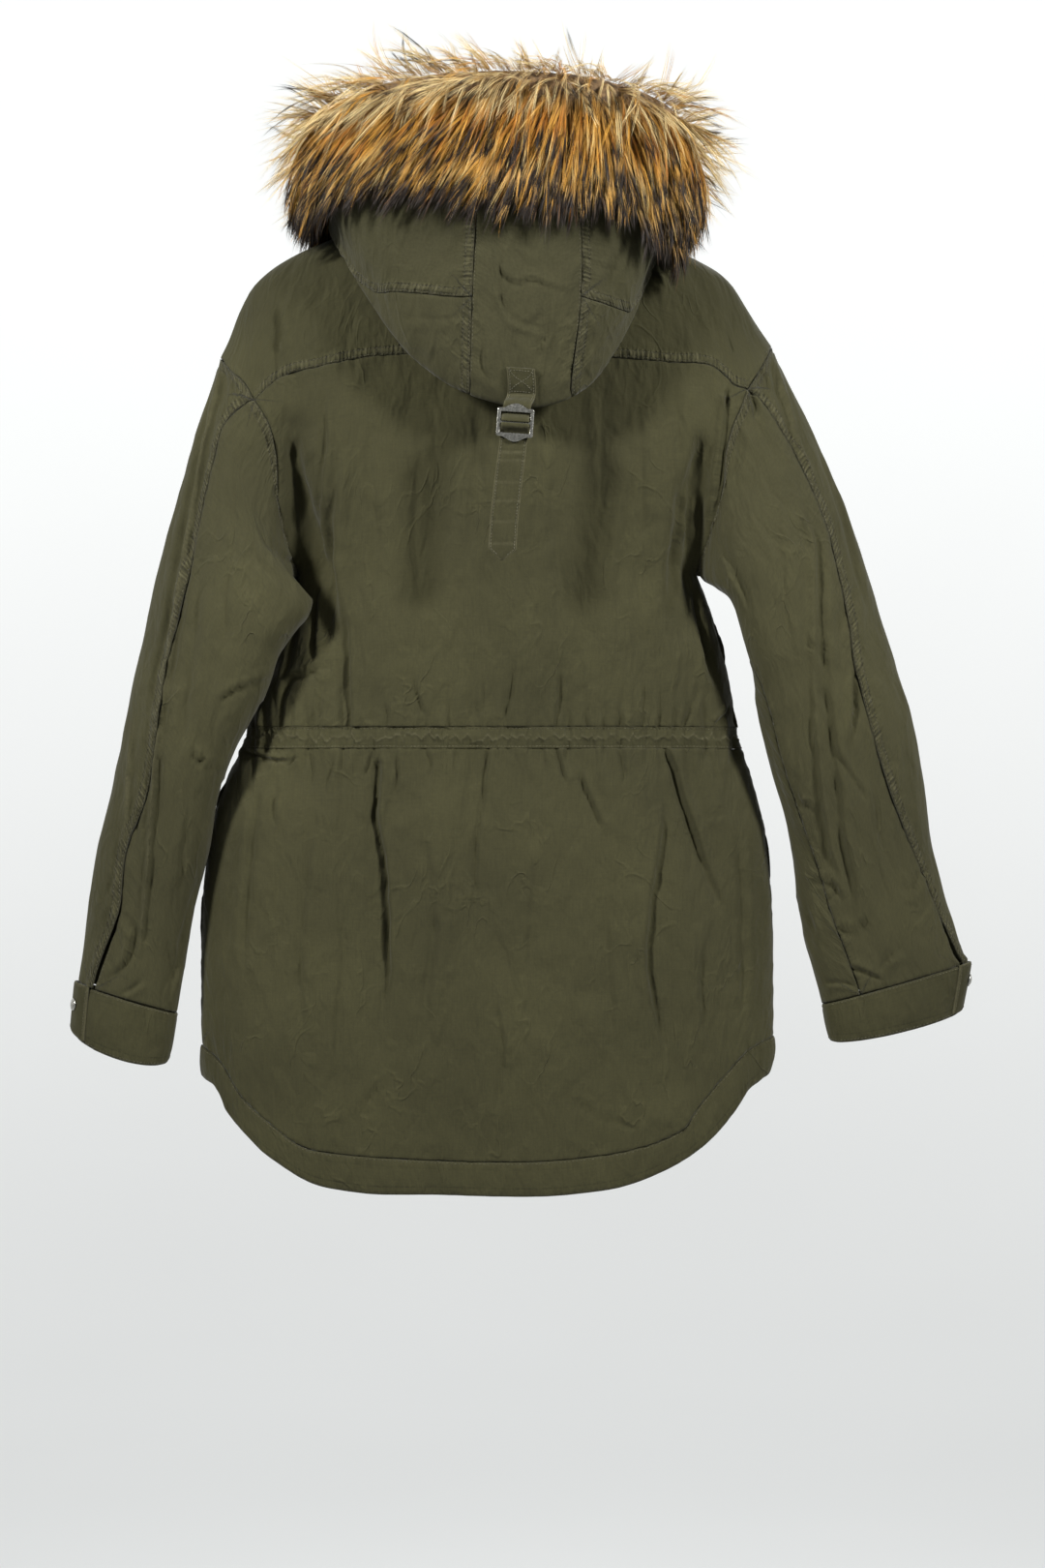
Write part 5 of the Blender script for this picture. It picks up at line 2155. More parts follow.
# ================================================================ hanger
def make_hanger(wood, steel):
    rings = []
    n = 20
    for x in np.linspace(-HANGER_END, HANGER_END, 97):
        u = abs(x) / HANGER_END
        height = HANGER_HEIGHT + (HANGER_END_HEIGHT - HANGER_HEIGHT) * u * u
        thick = HANGER_THICK * (1 - 0.15 * u)
        top = ridge_z(x) - HANGER_DROP
        tail = np.clip((u - 0.94) / 0.06, 0, 1)
        close = math.sqrt(max(1 - tail * tail, 0.02))
        height, thick = height * (0.35 + 0.65 * close), thick * close
        top -= 1.5 * tail
        if abs(x) < 60:
            top = min(top, -64.0 - (abs(x) / 60) ** 2 * 2.0)
        a = np.arange(n) * 2 * np.pi / n
        cz = np.sign(np.sin(a)) * np.abs(np.sin(a)) ** 0.75
        cy = np.sign(np.cos(a)) * np.abs(np.cos(a)) ** 0.75
        rings.append(np.stack([np.full(n, x), thick / 2 * cy, top - height / 2 + height / 2 * cz], 1))
    v = np.vstack(rings)
    faces = []
    for r in range(len(rings) - 1):
        for k in range(n):
            a, b = r * n + k, r * n + (k + 1) % n
            faces.append((a, b, b + n, a + n))
    faces.append(tuple(range(n))[::-1])
    last = (len(rings) - 1) * n
    faces.append(tuple(last + k for k in range(n)))
    ob = mesh_object("wood_hanger_bar", v, faces, wood)
    bm = bmesh.new()
    bm.from_mesh(ob.data)
    bmesh.ops.recalc_face_normals(bm, faces=bm.faces)
    bm.to_mesh(ob.data)
    bm.free()
    ob.data.shade_smooth()
    finish(ob, "hanger_bar")
    centre = HOOK_WIRE - HOOK_RADIUS
    start = np.array([0.0, -64.0 + 0.4])
    a = math.radians(-35)
    join = np.array([HOOK_RADIUS * math.cos(a), centre + HOOK_RADIUS * math.sin(a)])
    tangent = np.array([-math.sin(a), math.cos(a)])
    b0, b1, b2 = np.array([0.0, -52.0]), np.array([0.0, -42.0]), join - tangent * 10
    path = [tuple(start)]
    for s in np.linspace(0, 1, 17)[:-1]:
        path.append(tuple(b0 * (1 - s) ** 3 + 3 * b1 * s * (1 - s) ** 2
                          + 3 * b2 * s * s * (1 - s) + join * s**3))
    for k in np.linspace(-35, 205, 61):
        q = math.radians(k)
        path.append((HOOK_RADIUS * math.cos(q), centre + HOOK_RADIUS * math.sin(q)))
    p = np.array([(x, 0.0, z) for x, z in path])
    tan = np.gradient(p, axis=0)
    tan /= np.linalg.norm(tan, axis=1, keepdims=True)
    side = np.array([0, 1.0, 0])
    up = np.cross(tan, side)
    k = 16
    q = np.arange(k) * 2 * np.pi / k
    round_end = np.ones(len(p))
    ring = p[:, None] + HOOK_WIRE * round_end[:, None, None] * (
        np.cos(q)[None, :, None] * side + np.sin(q)[None, :, None] * up[:, None])
    caps = [(0.75, 0.86), (1.4, 0.62), (1.85, 0.2)]
    extra = [ring[-1:].mean(1, keepdims=True) + (ring[-1:] - ring[-1:].mean(1, keepdims=True)) * f
             + tan[-1] * d for d, f in caps]
    ring = np.vstack([ring] + extra)
    v = ring.reshape(-1, 3)
    faces = []
    for r in range(len(ring) - 1):
        for j in range(k):
            a, b = r * k + j, r * k + (j + 1) % k
            faces.append((a, b, b + k, a + k))
    faces.append(tuple(range(k))[::-1])
    last = (len(ring) - 1) * k
    faces.append(tuple(last + j for j in range(k)))
    ob = mesh_object("steel_hook", v, faces, steel)
    bm = bmesh.new()
    bm.from_mesh(ob.data)
    bmesh.ops.recalc_face_normals(bm, faces=bm.faces)
    bm.to_mesh(ob.data)
    bm.free()
    ob.data.shade_smooth()
    finish(ob, "hanger_hook")


# ================================================================ fur
FUR_NAMES = ("v", "low", "out", "up", "in")
# across the back, x in mm, and how far the hair leans from straight down, in degrees
FUR_LEAN = [(-230, -64), (-170, -54), (-110, -44), (-50, -38), (0, -32), (40, -20),
            (75, -8), (110, 2), (150, 12), (190, 24), (230, 40)]
ABOVE = np.array([0, 0, 1.0])


def unit(a):
    return a / np.maximum(np.linalg.norm(a, axis=-1, keepdims=True), 1e-9)


def pelt(v, q):
    """Where hair grows: q from 0, low inside the rim, over 0.4, the rim, to 1, the
    lowest roots outside. Returns the root, the way out and the share over the rim."""
    v, q = np.asarray(v, float), np.asarray(q, float)
    low, out, up, inner = (cubic(column(FUR, "v", FUR_NAMES), column(FUR, n, FUR_NAMES), v)
                           for n in FUR_NAMES[1:])
    low_root = np.minimum(low + 0.07, 0.97)
    k = np.clip((q - 0.4) / 0.6, 0, 1)
    t = 1 - k * (1 - low_root)
    p, n = hood_surface(v, t), hood_normal(v, t) * HOOD_OUT
    rim, away = hood_surface(v, np.ones_like(v)), hood_normal(v, np.ones_like(v)) * HOOD_OUT
    away = unit(away * np.array([1, 1, 0.2]))
    swell = 4.5 + 0.22 * out * (1 - 0.5 * k)
    outside = p + n * swell[..., None]
    phi = np.clip((0.4 - q) / 0.4, 0, 1) * np.pi
    reach = np.where(np.cos(phi) > 0, swell, inner * 0.5)
    over = rim + ABOVE * (2.0 + up * 0.34 * np.sin(phi))[..., None] + away * (
        reach * np.cos(phi))[..., None]
    top = q < 0.4
    root = np.where(top[..., None], over, outside)
    way = np.where(top[..., None],
                   unit(ABOVE * np.sin(phi)[..., None] * 1.1 + away * np.cos(phi)[..., None]),
                   n)
    return root, way, 1 - np.clip(q / 0.4, 0, 1)


def fur_direction(root, way, inside):
    """The way the hair lies: down and aslant over the back, down and out elsewhere."""
    lean = np.radians(np.interp(root[..., 0], *zip(*FUR_LEAN)))
    view = np.stack([np.sin(lean), np.zeros_like(lean), -np.cos(lean)], -1)
    d = view - way * np.sum(view * way, -1, keepdims=True)
    return unit(d + np.array([0, 0, -0.05]))


def fur_clumps(rng):
    """Locks of hair: where each grows, how long it is and how it is coloured."""
    vs = np.linspace(0.035, 0.965, 400)
    rim = hood_surface(vs, np.ones_like(vs))
    length = np.r_[0, np.cumsum(np.linalg.norm(np.diff(rim, axis=0), axis=1))]
    rows = []
    # q of a tier, lock spacing along the rim, hairs, length of hair, its spread
    tiers = [
        (1.00, 9.5, 50, 43, 8), (0.93, 9.5, 50, 46, 8), (0.86, 9.5, 50, 49, 9),
        (0.79, 9.5, 50, 52, 9), (0.72, 9.5, 50, 54, 9), (0.65, 9.5, 50, 56, 9),
        (0.58, 9.5, 50, 58, 9), (0.51, 9.5, 48, 58, 10), (0.45, 9.5, 46, 60, 12),
        (0.39, 10, 42, 60, 13), (0.33, 11, 38, 57, 13), (0.26, 11, 36, 52, 12),
        (0.18, 12, 32, 44, 9), (0.09, 13, 30, 38, 8), (0.0, 13, 28, 34, 7),
    ]
    for q, gap, hairs, long, spread in tiers:
        n = int(length[-1] / gap)
        s = (np.arange(n) + rng.uniform(-0.42, 0.42, n) + 0.5) * length[-1] / n
        for k in range(n):
            rows.append((np.interp(s[k], length, vs), np.clip(q + rng.uniform(-0.035, 0.035), 0, 1),
                         hairs, long + rng.uniform(-spread, spread)))
    return np.array(rows)


def make_fur(mat, skin):
    rng = np.random.RandomState(77)
    clumps = fur_clumps(rng)
    v, q, hairs, long = clumps.T
    root, way, inside = pelt(v, q)
    down = fur_direction(root, way, inside)
    side = np.cross(way, down)
    count = len(clumps)
    halo = np.clip((0.47 - q) / 0.12, 0, 1)  # 1 for the hair that stands on the rim
    inner = np.clip((0.2 - q) / 0.12, 0, 1)
    # each lock: how it rises from the skin, and where its tip lies
    rise1 = 0.60 + 0.27 * halo + rng.uniform(-0.12, 0.12, count)
    rise2 = np.where(halo > 0.5, 0.60 + rng.uniform(-0.32, 0.3, count),
                     0.19 + rng.uniform(-0.07, 0.13, count))
    rise2 = rise2 * (1 - inner) + 0.35 * inner
    sway = rng.uniform(-0.16, 0.16, count) + halo * rng.uniform(-0.5, 0.5, count)

    # finer locks within each lock
    fine = np.maximum((hairs / 6.5).astype(int), 4)
    own = np.repeat(np.arange(count), fine)
    m = len(own)
    r, a = 6.2 * np.sqrt(rng.rand(m)), rng.uniform(0, 2 * np.pi, m)
    ox, oy = r * np.cos(a), r * np.sin(a)
    offset = side[own] * ox[:, None] + down[own] * oy[:, None]
    high = halo[own]
    turn = sway[own] + rng.normal(0, 0.10, m) + high * rng.normal(0, 0.28, m)
    lie = unit(down[own] + side[own] * turn[:, None])
    r1 = np.clip(rise1[own] + rng.normal(0, 0.05, m), 0, 0.97)
    r2 = np.clip(rise2[own] + rng.normal(0, 0.05, m) + high * rng.normal(0, 0.14, m), 0, 0.97)
    reach = long[own] * rng.uniform(0.74, 1.08, m) * (1 + high * rng.uniform(-0.3, 0.25, m))
    w = way[own]
    p1 = (w * r1[:, None] + lie * np.sqrt(1 - r1**2)[:, None]) * (0.42 * reach)[:, None]
    p2 = (w * r2[:, None] + lie * np.sqrt(1 - r2**2)[:, None]) * reach[:, None]
    p2[:, 2] -= 3.0
    gather = np.where(high > 0.5, 0.25, 0.55) * rng.uniform(0.7, 1.2, m)

    # colours: at the root, along the middle, at the tip, and where the tip starts
    sand, gold = np.array([0.36, 0.215, 0.068]), np.array([0.47, 0.235, 0.036])
    amber, cream = np.array([0.36, 0.138, 0.015]), np.array([0.66, 0.475, 0.185])
    dark, brown = np.array([0.014, 0.009, 0.006]), np.array([0.11, 0.052, 0.018])
    x = root[own, 0]
    kind = rng.rand(m) * 0.55 + rng.rand(count)[own] * 0.45
    warm = 0.62 + 0.14 * np.exp(-(((x + 20) / 90) ** 2)) - 0.22 * ease((-x - 120) / 70)
    warm = warm - 0.42 * ease((q[own] - 0.56) / 0.22)
    mid = np.where((kind < warm * 0.62)[:, None], amber,
                   np.where((kind < warm * 1.25)[:, None], gold, sand * 1.3))
    base = sand[None] * rng.uniform(0.85, 1.15, (m, 1))
    streak = rng.rand(count)[own]  # whole locks are dark at the tip, and others are not
    dark_share = np.where(high > 0.5, np.where(streak < 0.14, 0.8, 0.02),
                          np.where(streak < 0.46, 0.94, 0.10))
    outer = np.maximum(ease((-x - 165) / 35), ease((x - 175) / 30))
    dark_share = np.maximum(dark_share, np.where(high > 0.5, 0.25, 0.75) * outer)
    dark_share = np.maximum(dark_share, 0.85 * ease((q[own] - 0.74) / 0.14))
    dark_tip = rng.rand(m) < dark_share
    pale_tip = rng.rand(m) < 0.4
    tip = np.where(dark_tip[:, None], dark, np.where(pale_tip[:, None], cream * 0.8, gold))
    start = np.where(dark_tip, 0.38 + 0.16 * rng.rand(count)[own] + rng.uniform(0, 0.12, m),
                     rng.uniform(0.6, 0.85, m))
    crown = high > 0.5
    pale = cream[None] * rng.uniform(0.72, 1.05, (m, 1))
    pale = np.where(crown[:, None], pale * np.array([1.02, 1.10, 1.38]), pale)
    mid = np.where(crown[:, None], np.where((rng.rand(m) < 0.14)[:, None], gold * 1.2, pale), mid)
    tip = np.where((crown & ~dark_tip)[:, None], cream * np.array([1.1, 1.2, 1.6]), tip)
    edge = (ease((x - 150) / 50) * (rng.rand(m) < 0.55)) > 0.5
    mid = np.where(edge[:, None], pale * 0.9, mid)
    low = q[own] > 0.93
    tip = np.where((low & (rng.rand(m) < 0.9))[:, None], dark, tip)
    start = np.where(low, rng.uniform(0.40, 0.60, m), start)

    # every hair
    per = np.maximum(np.round(hairs[own] / fine[own]).astype(int), 4)
    who = np.repeat(np.arange(m), per)
    n = len(who)
    stray = rng.rand(n) < 0.07
    lock = own[who]
    r, a = 1.9 * np.sqrt(rng.rand(n)), rng.uniform(0, 2 * np.pi, n)
    spread = side[lock] * (r * np.cos(a))[:, None] + down[lock] * (r * np.sin(a))[:, None]
    close = np.where(stray, rng.uniform(-1.2, 0.1, n), rng.uniform(0.55, 0.95, n))
    close = np.where((dark_tip & (high < 0.5))[who] & ~stray, 0.92, close)
    close = np.where((high > 0.5)[who] & ~stray, rng.uniform(0.1, 0.7, n), close)
    jitter = rng.normal(0, 1.0, (n, 3)) * np.where(stray, 4.0, 1.0)[:, None]
    stretch = rng.uniform(0.86, 1.05, n) * np.where(stray, 1.06, 1.0)
    s = np.array([0.0, 0.3, 0.58, 0.82, 1.0])
    sk = s[None, :] * stretch[:, None]
    u = sk[..., None]
    curve = root[lock][:, None] + 2 * p1[who][:, None] * u * (1 - u) + p2[who][:, None] * u * u
    curve += offset[who][:, None] * (1 - gather[who][:, None] * np.clip(sk, 0, 1.1) ** 1.3)[..., None]
    curve += spread[:, None] * (1 - close[:, None] * np.clip(sk, 0, 1.1) ** 1.2)[..., None]
    curve += jitter[:, None] * (sk**1.5)[..., None]
    curl = (rng.uniform(-1, 1, m)[who][:, None] * 1.5 + rng.uniform(-1, 1, (n, 1)) * 0.7)
    curve += side[lock][:, None] * (curl * np.sin(sk * np.pi))[..., None]
    # ribbons that face out, each with its own twist
    tangent = unit(np.gradient(curve, axis=1))
    twist = rng.uniform(-0.9, 0.9, n) * np.where(halo[lock] > 0.3, 1.6, 1.0)
    face = way[lock][:, None] + 0.05 * spread[:, None] + 0.06 * offset[who][:, None]
    b = unit(np.cross(tangent, face))
    c = np.cross(tangent, b)
    b = b * np.cos(twist)[:, None, None] + c * np.sin(twist)[:, None, None]
    thick = rng.uniform(0.38, 0.72, n) * np.where(stray, 0.6, 1.0) * (1 - 0.40 * halo[lock])
    fine_tip, full_tip = np.array([0.9, 1.0, 0.85, 0.5, 0.0]), np.array([0.6, 0.9, 1.3, 1.2, 0.0])
    wide = thick[:, None] * np.where(dark_tip[who][:, None], full_tip, fine_tip)
    left = curve - b * wide[..., None] / 2
    right_ = curve + b * wide[..., None] / 2
    verts = np.stack([left[:, :4], right_[:, :4]], 2).reshape(n, 8, 3)
    verts = np.concatenate([verts, curve[:, 4:5]], 1)
    # the ruff's depth from front to back stays within its solid's reach
    y = verts[..., 1]
    y = np.where(y < -160, -160 - 32 * (1 - np.exp((y + 160) / 32)), y)
    verts[..., 1] = np.where(y > 80, 80 + 24 * (1 - np.exp((80 - y) / 24)), y)
    # colours at the stations
    shade = rng.uniform(0.78, 1.18, (n, 1, 1))
    st = start[who][:, None] + rng.uniform(-0.05, 0.05, (n, 1))
    grow = ease((sk - 0.12) / 0.35)[..., None]
    end = ease((sk - st) / 0.16)[..., None]
    col = base[who][:, None] * (1 - grow) + mid[who][:, None] * grow
    col = (col * shade) * (1 - end) + tip[who][:, None] * end
    guard = rng.rand(n) < 0.05  # dark hairs all over
    col[guard] = dark * 1.2 + (brown - dark) * rng.rand(guard.sum(), 1, 1)
    cv = np.concatenate([np.repeat(col[:, :4], 2, axis=1), col[:, 4:5]], 1)
    one = [(0, 1, 3, 2), (2, 3, 5, 4), (4, 5, 7, 6)]
    order = np.argsort(root[lock, 0], kind="stable")
    for k, pick in enumerate(np.array_split(order, 4)):
        hv, hc = verts[pick].reshape(-1, 3), cv[pick].reshape(-1, 3)
        first = np.arange(len(pick)) * 9
        quads = (first[:, None, None] + np.array(one)[None]).reshape(-1, 4)
        tris = first[:, None] + np.array([6, 7, 8])[None]
        fur_mesh(f"fur_hair_{k + 1}", hv, hc, quads, tris, mat)
    fur_skin(skin)
    return n


def fur_mesh(name, verts, colours, quads, tris, mat):
    me = bpy.data.meshes.new(name)
    me.vertices.add(len(verts))
    me.vertices.foreach_set("co", (verts * MM).astype(np.float32).ravel())
    loops = np.concatenate([quads.ravel(), tris.ravel()]).astype(np.int32)
    me.loops.add(len(loops))
    me.loops.foreach_set("vertex_index", loops)
    starts = np.concatenate([np.arange(len(quads)) * 4, len(quads) * 4 + np.arange(len(tris)) * 3])
    me.polygons.add(len(starts))
    me.polygons.foreach_set("loop_start", starts.astype(np.int32))
    me.update(calc_edges=True)
    me.validate()
    me.shade_smooth()
    layer = me.color_attributes.new("hair", "FLOAT_COLOR", "POINT")
    rgba = np.concatenate([np.clip(colours, 0, 1), np.ones((len(colours), 1))], 1)
    layer.data.foreach_set("color", rgba.astype(np.float32).ravel())
    ob = bpy.data.objects.new(name, me)
    SCENE.collection.objects.link(ob)
    me.materials.append(mat)
    finish(ob, None)
    return ob


def fur_skin(mat):
    """The backing that the hair grows from: a thin strip over the rim."""
    v = np.linspace(0.035, 0.965, 181)
    q = np.linspace(0.0, 1.0, 31)
    p, n, _ = pelt(np.repeat(v[None], len(q), 0), np.repeat(q[:, None], len(v), 1))
    p = p - n * 2.2
    c = Cloth(p, (0.8, 0.5, BACK), 191)
    c.h += 0.8 * billow(c.across + 700, c.down + 100, 4.0, 17)
    ob = shell("fur_backing", c, mat, "fur_ruff", wall=1.6)
    sheet(ob, c)


# ================================================================ materials
def new_material(name):
    mat = bpy.data.materials.new(name)
    mat.use_nodes = True
    tree = mat.node_tree
    return mat, tree, tree.nodes["Principled BSDF"]


def add(tree, kind, **values):
    node = tree.nodes.new(kind)
    for key, value in values.items():
        if key.startswith("in_"):
            node.inputs[int(key[3:]) if key[3:].isdigit() else key[3:]].default_value = value
        else:
            setattr(node, key, value)
    return node


def mixed(tree, factor, a, b, how="MIX"):
    node = add(tree, "ShaderNodeMix", data_type="RGBA", blend_type=how)
    for socket, value in ((node.inputs[0], factor), (node.inputs[6], a), (node.inputs[7], b)):
        if isinstance(value, bpy.types.NodeSocket):
            tree.links.new(value, socket)
        elif isinstance(value, (int, float)):
            socket.default_value = value
        else:
            socket.default_value = (*value, 1)
    return node.outputs[2]


def ranged(tree, value, low, high, a, b):
    node = add(tree, "ShaderNodeMapRange")
    tree.links.new(value, node.inputs[0])
    for k, x in zip((1, 2, 3, 4), (low, high, a, b)):
        node.inputs[k].default_value = x
    return node.outputs[0]


def sums(tree, how, a, b=None, c=None, clamp=False):
    """A math node on numbers or sockets."""
    node = add(tree, "ShaderNodeMath", operation=how, use_clamp=clamp)
    for socket, value in zip(node.inputs, (a, b, c)):
        if isinstance(value, bpy.types.NodeSocket):
            tree.links.new(value, socket)
        elif value is not None:
            socket.default_value = value
    return node.outputs[0]


def grain(tree, vector, scale, detail=2.0, roughness=0.5, distortion=0.0, shift=0.0):
    """Smooth noise, its coordinates scaled apart in x and y."""
    place = add(tree, "ShaderNodeMapping")
    place.inputs["Scale"].default_value = (scale[0], scale[1], 1.0)
    place.inputs["Location"].default_value = (shift, shift * 0.7, shift)
    tree.links.new(vector, place.inputs["Vector"])
    node = add(tree, "ShaderNodeTexNoise", in_Scale=1.0, in_Detail=detail,
               in_Roughness=roughness, in_Distortion=distortion)
    tree.links.new(place.outputs[0], node.inputs["Vector"])
    return node.outputs["Fac"]


def near_line(tree, value, at, half):
    """1 on a line at a value, fading to 0 half away from it."""
    away = sums(tree, "ABSOLUTE", sums(tree, "SUBTRACT", value, at))
    node = add(tree, "ShaderNodeMapRange", interpolation_type="SMOOTHSTEP")
    tree.links.new(away, node.inputs[0])
    for k, x in zip((1, 2, 3, 4), (0.0, half, 1.0, 0.0)):
        node.inputs[k].default_value = x
    return node.outputs[0]


def cloth_material(name, colour, worn):
    """Matt plain-weave cotton: threads, slubs, small wrinkles, puckered faded seams."""
    mat, tree, shader = new_material(name)
    link = tree.links.new
    uv = add(tree, "ShaderNodeUVMap", uv_map="weave").outputs[0]
    seam = add(tree, "ShaderNodeUVMap", uv_map="seam").outputs[0]
    apart = add(tree, "ShaderNodeSeparateXYZ")
    link(seam, apart.inputs[0])
    off = apart.outputs["Y"]
    heavy = add(tree, "ShaderNodeAttribute", attribute_name="heavy").outputs["Fac"]
    wear = add(tree, "ShaderNodeAttribute", attribute_name="wear").outputs["Fac"]
    place = add(tree, "ShaderNodeTexCoord")
    broad = add(tree, "ShaderNodeTexNoise", in_Scale=7.0, in_Detail=3.0, in_Roughness=0.55)
    link(place.outputs["Object"], broad.inputs["Vector"])
    mottle = grain(tree, uv, (0.42, 0.42), 4.0, 0.62)
    slub = grain(tree, uv, (0.9, 0.055))
    slub2 = grain(tree, uv, (0.055, 0.9))
    warp = add(tree, "ShaderNodeTexWave", wave_type="BANDS", bands_direction="X",
               in_Scale=0.36, in_Distortion=0.6)
    weft = add(tree, "ShaderNodeTexWave", wave_type="BANDS", bands_direction="Y",
               in_Scale=0.36, in_Distortion=0.6)
    for w in (warp, weft):
        link(uv, w.inputs["Vector"])

    # the seam: a ladder of puckers between two rows of stitches, and creases beside it
    strip = sums(tree, "MULTIPLY", ranged(tree, off, 8.0, 9.4, 1.0, 0.0),
                 ranged(tree, heavy, 0.6, 0.9, 0.0, 1.0))
    run = sums(tree, "MULTIPLY_ADD", grain(tree, seam, (0.12, 0.05), 1.0), 7.0, sums(
        tree, "MULTIPLY", apart.outputs["X"], 1.55))
    ladder = sums(tree, "MULTIPLY_ADD", sums(tree, "SINE", run), 0.55, ranged(
        tree, grain(tree, seam, (0.42, 0.10), 1.5, 0.5), 0.36, 0.64, -0.6, 0.6))
    rungs = sums(tree, "MULTIPLY", strip, ladder)
    rows = sums(tree, "MAXIMUM", near_line(tree, off, FELL_ROWS[0], 1.15),
                near_line(tree, off, FELL_ROWS[1], 1.15))
    dashes = ranged(tree, grain(tree, seam, (0.62, 0.02), 0.0, 0.5, shift=9.0), 0.40, 0.56, 0.25, 1.0)
    rows = sums(tree, "MULTIPLY", sums(tree, "MULTIPLY", rows, dashes), heavy)
    fold = sums(tree, "MULTIPLY", near_line(tree, off, 0.0, 1.3),
                ranged(tree, heavy, 0.0, 1.0, 0.35, 1.0))
    beside_seam = sums(tree, "MULTIPLY", ranged(tree, off, 1.0, 22.0, 1.0, 0.0),
                       ranged(tree, heavy, 0.0, 1.0, 0.45, 1.0))
    pull = sums(tree, "SUBTRACT", grain(tree, seam, (0.15, 0.045), 2.5, 0.55, shift=3.0), 0.5)
    pull = sums(tree, "MULTIPLY", pull, beside_seam)

    # wrinkles that come and go, and slow waves
    ridge = sums(tree, "ABSOLUTE", sums(
        tree, "SUBTRACT", grain(tree, uv, (0.036, 0.020), 2.5, 0.5, 0.7, 5.0), 0.5))
    ridge = ranged(tree, ridge, 0.0, 0.045, 1.0, 0.0)
    where = ranged(tree, grain(tree, uv, (0.017, 0.013), 1.0, shift=7.0), 0.46, 0.64, 0.0, 1.0)
    wrinkle = sums(tree, "MULTIPLY", ridge, where)
    slack = grain(tree, uv, (0.060, 0.030), 2.0, 0.5, 0.3, 11.0)

    dark = tuple(c * 0.88 for c in colour)
    light = tuple(c * 1.12 for c in colour)
    base = mixed(tree, ranged(tree, broad.outputs["Fac"], 0.35, 0.65, 0, 1), dark, light)
    tone = sums(tree, "MULTIPLY", ranged(tree, mottle, 0.3, 0.7, 0.87, 1.13),
                ranged(tree, slub, 0.3, 0.7, 0.93, 1.07))
    tone = sums(tree, "MULTIPLY", tone, ranged(tree, slub2, 0.3, 0.7, 0.95, 1.05))
    tone = sums(tree, "MULTIPLY_ADD", rungs, 0.42, tone)
    tone = sums(tree, "MULTIPLY_ADD", rows, -0.50, tone)
    tone = sums(tree, "MULTIPLY_ADD", fold, -0.22, tone)
    tone = sums(tree, "MULTIPLY_ADD", wrinkle, 0.11, tone)
    tone = sums(tree, "MAXIMUM", tone, 0.25)
    grey = add(tree, "ShaderNodeCombineColor")
    for k in range(3):
        link(tone, grey.inputs[k])
    base = mixed(tree, 1.0, base, grey.outputs[0], "MULTIPLY")
    faded = sums(tree, "MULTIPLY", wear, ranged(tree, mottle, 0.35, 0.62, 0.35, 1.0))
    faded = sums(tree, "ADD", faded, sums(
        tree, "MULTIPLY", ranged(tree, rungs, 0.35, 1.0, 0.0, 0.30), strip), clamp=True)
    base = mixed(tree, faded, base, worn)
    link(base, shader.inputs["Base Color"])
    link(ranged(tree, mottle, 0.3, 0.7, 0.84, 0.96), shader.inputs["Roughness"])
    shader.inputs["Specular IOR Level"].default_value = 0.12
    shader.inputs["Sheen Weight"].default_value = 0.06
    shader.inputs["Sheen Roughness"].default_value = 0.5

    # all of it as height, in mm
    high = sums(tree, "MULTIPLY", sums(tree, "MULTIPLY", warp.outputs["Fac"],
                                       weft.outputs["Fac"]), 0.07)
    for value, tall in ((mottle, 0.20), (rungs, 0.30), (rows, -0.30), (fold, -0.35),
                        (pull, 3.8), (wrinkle, 0.75), (slack, 4.4)):
        high = sums(tree, "MULTIPLY_ADD", value, tall, high)
    bump = add(tree, "ShaderNodeBump", in_Strength=1.0)
    bump.inputs["Distance"].default_value = 0.001
    link(high, bump.inputs["Height"])
    link(bump.outputs[0], shader.inputs["Normal"])
    return mat


def thread_material(name, low, high):
    mat, tree, shader = new_material(name)
    place = add(tree, "ShaderNodeTexCoord")
    noise = add(tree, "ShaderNodeTexNoise", in_Scale=260.0, in_Detail=2.0)
    tree.links.new(place.outputs["Object"], noise.inputs["Vector"])
    col = mixed(tree, ranged(tree, noise.outputs["Fac"], 0.35, 0.65, 0, 1),
                low, high)
    tree.links.new(col, shader.inputs["Base Color"])
    shader.inputs["Roughness"].default_value = 0.75
    shader.inputs["Specular IOR Level"].default_value = 0.3
    return mat


def fur_material():
    mat, tree, shader = new_material("fur_hair")
    hair = add(tree, "ShaderNodeAttribute", attribute_name="hair")
    place = add(tree, "ShaderNodeTexCoord")
    noise = add(tree, "ShaderNodeTexNoise", in_Scale=55.0, in_Detail=3.0)
    tree.links.new(place.outputs["Object"], noise.inputs["Vector"])
    grey = add(tree, "ShaderNodeCombineColor")
    for k in range(3):
        tree.links.new(ranged(tree, noise.outputs["Fac"], 0.3, 0.7, 0.82, 1.15), grey.inputs[k])
    tree.links.new(mixed(tree, 1.0, hair.outputs["Color"], grey.outputs[0], "MULTIPLY"),
                   shader.inputs["Base Color"])
    shader.inputs["Roughness"].default_value = 0.6
    shader.inputs["Specular IOR Level"].default_value = 0.2
    return mat


